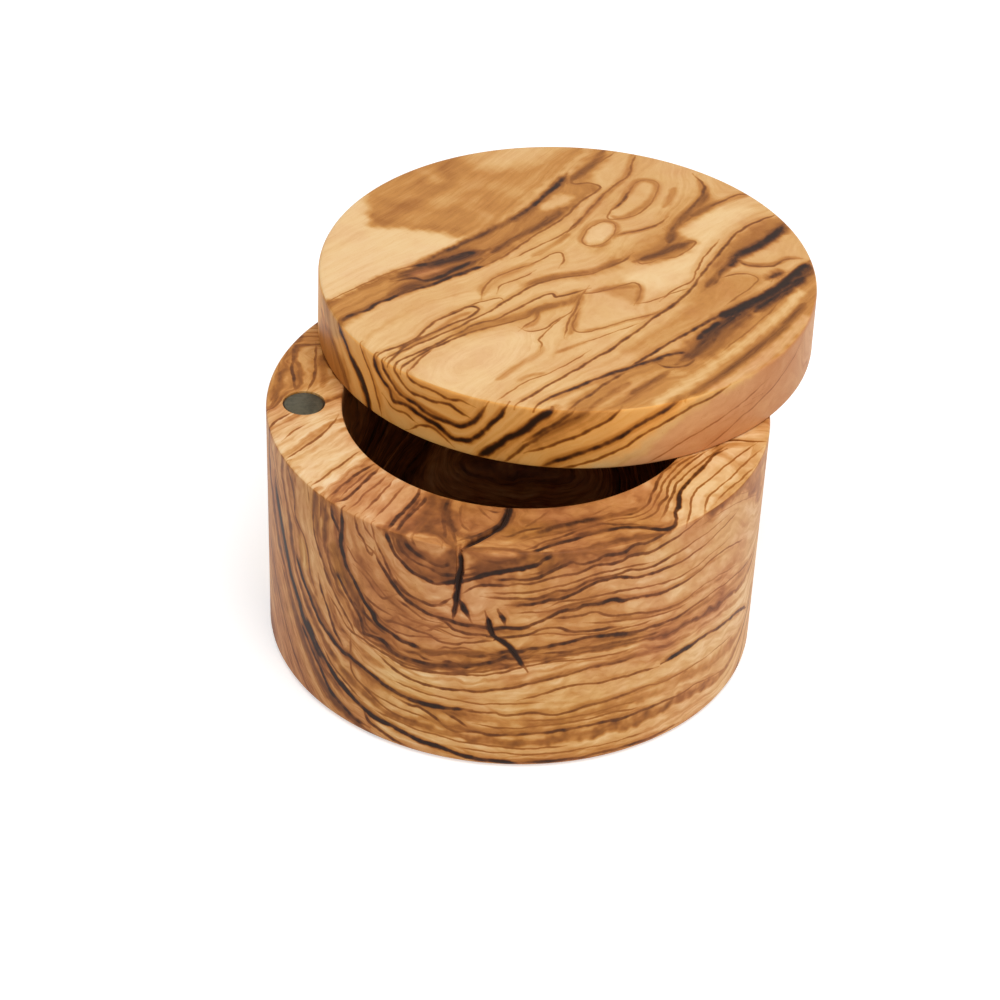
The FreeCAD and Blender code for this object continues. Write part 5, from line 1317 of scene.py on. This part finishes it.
def make_line_group():
    """One layer of drawn lines: the dark core, and a brown halo on the line's left."""
    group = bpy.data.node_groups.new("grain_line", "ShaderNodeTree")
    add_sockets(group, (("Line", "Vector"), ("Wander", "Float"), ("Strength", "Float"), ("Soft", "Float")),
                (("Core", "Float"), ("Halo", "Float"), ("Depth", "Float")))
    given = node(group, "NodeGroupInput").outputs
    side, near, drawn_ink = node(group, "ShaderNodeSeparateXYZ", None, {0: given["Line"]}).outputs
    offset = maths(group, "ADD", side, given["Wander"])
    ink = maths(group, "MULTIPLY", drawn_ink, given["Strength"])
    half_width = maths(group, "MULTIPLY_ADD", ink, 0.36, 0.08)
    blur = maths(group, "MULTIPLY", half_width, given["Soft"])
    core = step(group, maths(group, "ABSOLUTE", offset), maths(group, "SUBTRACT", half_width, blur),
                maths(group, "MULTIPLY_ADD", blur, 0.9, half_width), 1.0, 0.0)
    core = maths(group, "MULTIPLY", core, step(group, near, 1.05, 1.4, 1.0, 0.0))
    core = maths(group, "MULTIPLY", core, step(group, ink, 0.0, 0.35, 0.2, 1.0))
    depth = step(group, ink, 0.1, 1.4, 0.57, 0.98)
    on_left = step(group, offset, -0.3, 0.15, 0.25, 1.0)
    halo = maths(group, "MULTIPLY", step(group, maths(group, "ABSOLUTE", offset), 0.1, HALO_REACH, 1.0, 0.0),
                 on_left)
    halo = maths(group, "MULTIPLY", halo, step(group, near, 0.9, 1.5, 1.0, 0.0))
    halo = maths(group, "MULTIPLY", halo, ink)
    result = node(group, "NodeGroupOutput").inputs
    group.links.new(core, result["Core"])
    group.links.new(halo, result["Halo"])
    group.links.new(depth, result["Depth"])
    return group


HALO_REACH = 2.2


def make_streak_group():
    """One layer of broad soft streaks."""
    group = bpy.data.node_groups.new("grain_streak", "ShaderNodeTree")
    add_sockets(group, (("Streak", "Vector"), ("Wander", "Float")), (("Cover", "Float"),))
    given = node(group, "NodeGroupInput").outputs
    side, near, half_width = node(group, "ShaderNodeSeparateXYZ", None, {0: given["Streak"]}).outputs
    offset = maths(group, "ABSOLUTE", maths(group, "ADD", side, given["Wander"]))
    cover = step(group, offset, maths(group, "MULTIPLY", half_width, 0.25),
                 maths(group, "MULTIPLY_ADD", half_width, 1.3, 0.25), 1.0, 0.0)
    cover = maths(group, "MULTIPLY", cover, step(group, near, 1.5, 2.2, 1.0, 0.0))
    cover = maths(group, "MULTIPLY", cover, step(group, half_width, 0.1, 0.5))
    group.links.new(cover, node(group, "NodeGroupOutput").inputs["Cover"])
    return group


def make_wood_group():
    """Olive wood: drawn lines, growth rings between them, stains, fine streaks and pores."""
    group = bpy.data.node_groups.new("olive_wood", "ShaderNodeTree")
    add_sockets(group, [("Place", "Vector"), *((name, "Vector") for name in LINE_LAYERS + STREAK_LAYERS),
                        ("Stain And Shade", "Vector"), ("Ring", "Float"), ("Ring Pitch", "Float"),
                        ("Ring Ink", "Float"), ("Streak", "Float"), ("Fibre", "Float"), ("Soft", "Float")],
                [("Color", "Color"), ("Roughness", "Float"), ("Height", "Float")])
    given = node(group, "NodeGroupInput").outputs
    place = node(group, "ShaderNodeVectorMath", {"operation": "SCALE"},
                 {0: given["Place"], "Scale": 1 / MM}).outputs[0]
    across, back, up = node(group, "ShaderNodeSeparateXYZ", None, {0: place}).outputs
    tone, warmth, seen = node(group, "ShaderNodeSeparateXYZ", None, {0: given["Stain And Shade"]}).outputs

    ripple = maths(group, "SUBTRACT", noise(group, place, 0.22, 2.0), 0.5)
    kink = maths(group, "SUBTRACT", noise(group, place, 0.5, 1.0), 0.5)
    tremble = maths(group, "SUBTRACT", noise(group, place, 1.8, 2.0), 0.5)
    sway = maths(group, "SUBTRACT", noise(group, place, 0.028, 2.0), 0.5)
    flow = noise(group, place, 0.16, 3.0, 0.6)
    strength = maths(group, "MULTIPLY", step(group, flow, 0.3, 0.66, 0.72, 1.15),
                     maths(group, "MULTIPLY_ADD", kink, 0.9, 1.0))
    mottle = maths(group, "SUBTRACT", noise(group, place, 0.09, 4.0, 0.6), 0.5)
    fleck = step(group, noise(group, place, 4.5, 2.0), 0.62, 0.75)

    # drawn lines
    wander = maths(group, "MULTIPLY_ADD", ripple, 1.1, maths(group, "MULTIPLY", tremble, 0.1))
    wander = maths(group, "MULTIPLY_ADD", kink, 0.18, wander)
    line_group = make_line_group()
    layers = []
    halo = 0.0
    for name in LINE_LAYERS:
        layer = node(group, "ShaderNodeGroup", {"node_tree": line_group},
                     {"Line": given[name], "Wander": wander, "Strength": strength, "Soft": given["Soft"]}).outputs
        layers.append(layer)
        halo = maths(group, "MAXIMUM", layer["Halo"], halo)

    # broad streaks
    streak_group = make_streak_group()
    cover = 0.0
    for name in STREAK_LAYERS:
        layer = node(group, "ShaderNodeGroup", {"node_tree": streak_group},
                     {"Streak": given[name], "Wander": wander}).outputs
        cover = maths(group, "MAXIMUM", layer["Cover"], cover)

    # growth rings, which keep to the drawn lines
    unseen = maths(group, "SUBTRACT", 1.0, seen)
    ring = maths(group, "MULTIPLY_ADD", ripple, 0.9, given["Ring"])
    ring = maths(group, "MULTIPLY_ADD", maths(group, "MULTIPLY", sway, unseen), 11.0, ring)
    uneven = maths(group, "SUBTRACT", noise_along(group, ring, 0.16, 1.0), 0.5)
    spread = maths(group, "MULTIPLY_ADD", uneven, 5.0, ring)
    count = maths(group, "DIVIDE", spread, given["Ring Pitch"])
    number = maths(group, "ROUND", count)
    off_ring = maths(group, "ABSOLUTE", maths(group, "SUBTRACT", count, number))
    off_ring = maths(group, "MULTIPLY", off_ring, given["Ring Pitch"])
    luck = node(group, "ShaderNodeTexWhiteNoise", {"noise_dimensions": "1D"}, {"W": number}).outputs[0]
    ring_ink = maths(group, "MULTIPLY", maths(group, "POWER", luck, 1.2), strength)
    ring_width = maths(group, "MULTIPLY_ADD", ring_ink, 0.24, 0.07)
    ring_core = step(group, off_ring, maths(group, "MULTIPLY", ring_width, 0.35),
                     maths(group, "MULTIPLY", ring_width, 1.7), 1.0, 0.0)
    ring_core = maths(group, "MULTIPLY", ring_core, ring_ink)
    ring_share = maths(group, "MAXIMUM", given["Ring Ink"], unseen)
    ring_core = maths(group, "MULTIPLY", ring_core, ring_share)
    ring_band = node(group, "ShaderNodeTexWhiteNoise", {"noise_dimensions": "1D"},
                     {"W": maths(group, "ADD", maths(group, "FLOOR", count), 0.5)}).outputs[0]
    ring_band = maths(group, "MULTIPLY", maths(group, "SUBTRACT", ring_band, 0.5), ring_share)

    # streaks drawn out along the rings
    drawn_out = node(group, "ShaderNodeCombineXYZ", None, {
        0: ring, 1: maths(group, "MULTIPLY", across, 0.07),
        2: maths(group, "MULTIPLY", maths(group, "ADD", back, up), 0.07)}).outputs[0]
    streak = maths(group, "SUBTRACT", noise(group, drawn_out, 0.9, 4.0, 0.62), 0.5)
    broad = maths(group, "SUBTRACT", noise(group, drawn_out, 0.16, 2.0), 0.5)

    fibre_place = node(group, "ShaderNodeCombineXYZ", None, {
        0: maths(group, "MULTIPLY", ring, 3.2), 1: maths(group, "MULTIPLY", across, 0.22),
        2: maths(group, "MULTIPLY", maths(group, "ADD", back, up), 0.22)}).outputs[0]
    fibre = maths(group, "SUBTRACT", noise(group, fibre_place, 1.0, 2.0), 0.5)

    shade = maths(group, "MULTIPLY_ADD", streak, maths(group, "MULTIPLY_ADD", tone, given["Streak"], 0.1), tone)
    shade = maths(group, "MULTIPLY_ADD", mottle, 0.12, shade)
    shade = maths(group, "MULTIPLY_ADD", broad, maths(group, "MULTIPLY_ADD", tone, 0.8, 0.04), shade)
    shade = maths(group, "MULTIPLY_ADD", ring_band, 0.24, shade)
    shade = maths(group, "MULTIPLY_ADD", fibre, given["Fibre"], shade)
    shade = maths(group, "MULTIPLY_ADD", fleck, 0.09, shade)
    patchy = maths(group, "MULTIPLY_ADD", streak, 1.4, 0.95)
    shade = maths(group, "MULTIPLY_ADD", maths(group, "MULTIPLY", cover, patchy), 0.2, shade)
    shade = deepen(group, shade, maths(group, "MULTIPLY", halo, 0.4), 0.72)
    shade = deepen(group, shade, maths(group, "MULTIPLY", ring_core, step(group, tone, 0.1, 0.4, 0.3, 1.0)), 0.8)
    dark = ring_core
    for layer in layers:
        shade = deepen(group, shade, layer["Core"], layer["Depth"])
        dark = maths(group, "MAXIMUM", dark, layer["Core"])
    blush = maths(group, "MULTIPLY_ADD", mottle, 1.2, warmth)
    golden = step(group, blush, -1.0, 0.0, 1.0, 0.0)
    wood = mix_colour(group, golden, ramp(group, shade, GOLD), ramp(group, shade, HONEY))
    wood = mix_colour(group, step(group, blush, 0.0, 1.0), wood, ramp(group, shade, ROSE))

    rough = maths(group, "MULTIPLY_ADD", mottle, 0.14, 0.48)
    rough = maths(group, "MULTIPLY_ADD", fleck, 0.1, rough)
    height = maths(group, "MULTIPLY_ADD", dark, -0.35, streak)
    height = maths(group, "MULTIPLY_ADD", fleck, -0.4, height)
    result = node(group, "NodeGroupOutput").inputs
    group.links.new(wood, result["Color"])
    group.links.new(rough, result["Roughness"])
    group.links.new(height, result["Height"])
    return group


def make_wood(name, group, ring_pitch, ring_ink, streak, fibre, soft):
    """Oiled olive wood with a satin finish."""
    material, tree, shader = new_material(name)
    inputs = {"Place": node(tree, "ShaderNodeTexCoord").outputs["Object"],
              "Ring Pitch": ring_pitch, "Ring Ink": ring_ink, "Streak": streak,
              "Fibre": fibre, "Soft": soft}
    read = [(name, name, "Vector") for name in LINE_LAYERS + STREAK_LAYERS]
    read += [("Stain And Shade", "stain_and_painted_shade", "Vector"), ("Ring", "grain_ring", "Fac")]
    for socket, attribute, output in read:
        made = node(tree, "ShaderNodeAttribute", {"attribute_name": attribute})
        inputs[socket] = made.outputs[output]
    wood = node(tree, "ShaderNodeGroup", {"node_tree": group}, inputs).outputs
    tree.links.new(wood["Color"], shader.inputs["Base Color"])
    tree.links.new(wood["Roughness"], shader.inputs["Roughness"])
    bump = node(tree, "ShaderNodeBump", None, {
        "Strength": 0.25, "Distance": 0.06 * MM, "Height": wood["Height"]}).outputs[0]
    tree.links.new(bump, shader.inputs["Normal"])
    shader.inputs["IOR"].default_value = 1.45
    shader.inputs["Specular IOR Level"].default_value = 0.2
    return material


def make_metal(name, base, rough, scratch):
    """Plated or ground metal with fine scratches and dull spots."""
    material, tree, shader = new_material(name)
    place = node(tree, "ShaderNodeTexCoord").outputs["Object"]
    long_way = node(tree, "ShaderNodeMapping", None, {"Vector": place, "Scale": scratch}).outputs[0]
    lines = noise(tree, long_way, 1.0, 3.0, 0.7)
    spots = noise(tree, place, 700.0, 3.0, 0.6)
    shade = mix_colour(tree, step(tree, spots, 0.35, 0.7), base, [c * 0.62 for c in base[:3]] + [1.0])
    tree.links.new(shade, shader.inputs["Base Color"])
    tree.links.new(step(tree, lines, 0.3, 0.7, rough - 0.08, rough + 0.12), shader.inputs["Roughness"])
    shader.inputs["Metallic"].default_value = 0.85
    bump = node(tree, "ShaderNodeBump", None, {
        "Strength": 0.15, "Distance": 0.02 * MM, "Height": lines}).outputs[0]
    tree.links.new(bump, shader.inputs["Normal"])
    return material


def make_epoxy():
    """Dark glue with small bubbles and wood dust in it."""
    material, tree, shader = new_material("epoxy_glue")
    place = node(tree, "ShaderNodeTexCoord").outputs["Object"]
    dust = noise(tree, place, 1800.0, 3.0, 0.7)
    shade = mix_colour(tree, step(tree, dust, 0.4, 0.75), colour(46, 32, 20), colour(96, 68, 40))
    tree.links.new(shade, shader.inputs["Base Color"])
    tree.links.new(step(tree, dust, 0.3, 0.7, 0.25, 0.5), shader.inputs["Roughness"])
    bump = node(tree, "ShaderNodeBump", None, {
        "Strength": 0.3, "Distance": 0.05 * MM, "Height": dust}).outputs[0]
    tree.links.new(bump, shader.inputs["Normal"])
    return material


# Pieces

def make_body():
    corners = (
        (0.0, FOOT_Z), (FOOT_RADIUS, FOOT_Z), (BODY_RADIUS, RIM_Z), (HOLLOW_RADIUS, RIM_Z),
        (HOLLOW_RADIUS, RIM_Z - HOLLOW_DEPTH), (0.0, RIM_Z - HOLLOW_DEPTH))
    spacings = (COARSE, FINE, FINE, MIDDLING, COARSE)
    eases = {1: (FOOT_EASE, 5), 2: (RIM_EASE, 4), 3: (RIM_EASE, 4), 4: (COVE, 14)}
    piece = turn_on_axis("turned_body", BODY_AXIS, corners, spacings, eases)
    cut_away(piece, cylinder("pin_bore", PIN_AXIS, PIN_GLUE_RADIUS + 0.005 * MM,
                             PIN_GLUE_LOW_Z - 0.01 * MM, RIM_Z + 1 * MM))
    cut_away(piece, cylinder("magnet_pocket", RIM_MAGNET_AXIS, RIM_GLUE_RADIUS + 0.005 * MM,
                             RIM_GLUE_LOW_Z - 0.01 * MM, RIM_Z + 1 * MM))
    for name, points in CRACKS:
        open_crack(piece, name, points)
    finish_turned(piece)
    # the hollow gets painted shade, a darker tone standing in for its shadow
    draw_figure(piece, BODY_LINES, BODY_STREAKS, BODY_STAINS, 0.36, 0.5, body_rings, body_seen, body_hollow_painted_shade)
    return piece


def make_lid():
    corners = (
        (0.0, LID_LOW_Z), (LID_RADIUS, LID_LOW_Z), (LID_RADIUS, LID_TOP_Z), (0.0, LID_TOP_Z))
    spacings = (MIDDLING, FINE, FINE)
    eases = {1: (LID_LOW_EASE, 4), 2: (LID_TOP_EASE, 5)}
    piece = turn_on_axis("turned_lid", LID_AXIS, corners, spacings, eases)
    cut_away(piece, cylinder("pin_bore", PIN_AXIS, PIN_RADIUS + PIN_RUNNING_GAP,
                             LID_LOW_Z - 1 * MM, PIN_TOP_Z + PIN_END_GAP))
    cut_away(piece, cylinder("magnet_pocket", LID_MAGNET_AXIS, RIM_GLUE_RADIUS + 0.005 * MM,
                             LID_LOW_Z - 1 * MM, LID_GLUE_TOP_Z + 0.01 * MM))
    finish_turned(piece)
    draw_figure(piece, LID_LINES, LID_STREAKS, LID_STAINS, 0.24, 0.25, lid_rings, lid_seen)
    return piece


def make_magnet(name, axis, low, high):
    """A plated disc magnet with rounded edges."""
    piece = cylinder(name, axis, MAGNET_RADIUS, low, high, 96)
    piece.data.name = name
    edge = piece.modifiers.new("rounded_edges", "BEVEL")
    edge.width = MAGNET_EASE
    edge.segments = 4
    edge.limit_method = "ANGLE"
    bpy.ops.object.modifier_apply(modifier=edge.name)
    bpy.ops.object.shade_smooth_by_angle(angle=math.radians(30))
    return piece


def dress(piece, body, slot, material, *nodes):
    piece.data.materials.clear()
    piece.data.materials.append(material)
    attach(piece, body)
    if nodes:
        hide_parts(*nodes)


def build():
    set_camera()
    set_stage()
    set_world()
    add_softbox("key_light", (0.15, -0.3, 1.1), 0.7, 5.6)
    add_softbox("front_fill", (0.6, -1.2, 0.5), 1.0, 3.0)
    group = make_wood_group()
    body_wood = make_wood("body_wood", group, 1.1, 0.9, 0.85, 0.5, 0.5)
    lid_wood = make_wood("lid_wood", group, 2.0, 0.17, 0.3, 0.13, 0.72)
    nickel = make_metal("nickel_plate", colour(96, 90, 72), 0.45, (300, 3000, 300))
    steel = make_metal("ground_steel", colour(190, 190, 188), 0.3, (400, 400, 4000))
    epoxy = make_epoxy()
    dress(make_body(), "box", "body_wood", body_wood, "body")
    dress(make_lid(), "swivel_lid", "lid_wood", lid_wood, "lid")
    rim_magnet = make_magnet("magnet_in_rim", RIM_MAGNET_AXIS, RIM_MAGNET_LOW_Z, RIM_MAGNET_TOP_Z)
    dress(rim_magnet, "box", "magnet_nickel", nickel, "rim_magnet")
    lid_magnet = make_magnet("magnet_in_lid", LID_MAGNET_AXIS, LID_MAGNET_LOW_Z, LID_MAGNET_TOP_Z)
    dress(lid_magnet, "swivel_lid", "magnet_nickel", nickel, "lid_magnet")
    for name, material in (("pivot_pin", steel), ("pivot_pin_glue", epoxy),
                           ("rim_magnet_glue", epoxy), ("lid_magnet_glue", epoxy)):
        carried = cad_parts[name]
        carried.data.materials.clear()
        carried.data.materials.append(material)


build()
bpy.context.scene.view_settings.view_transform = "Standard"
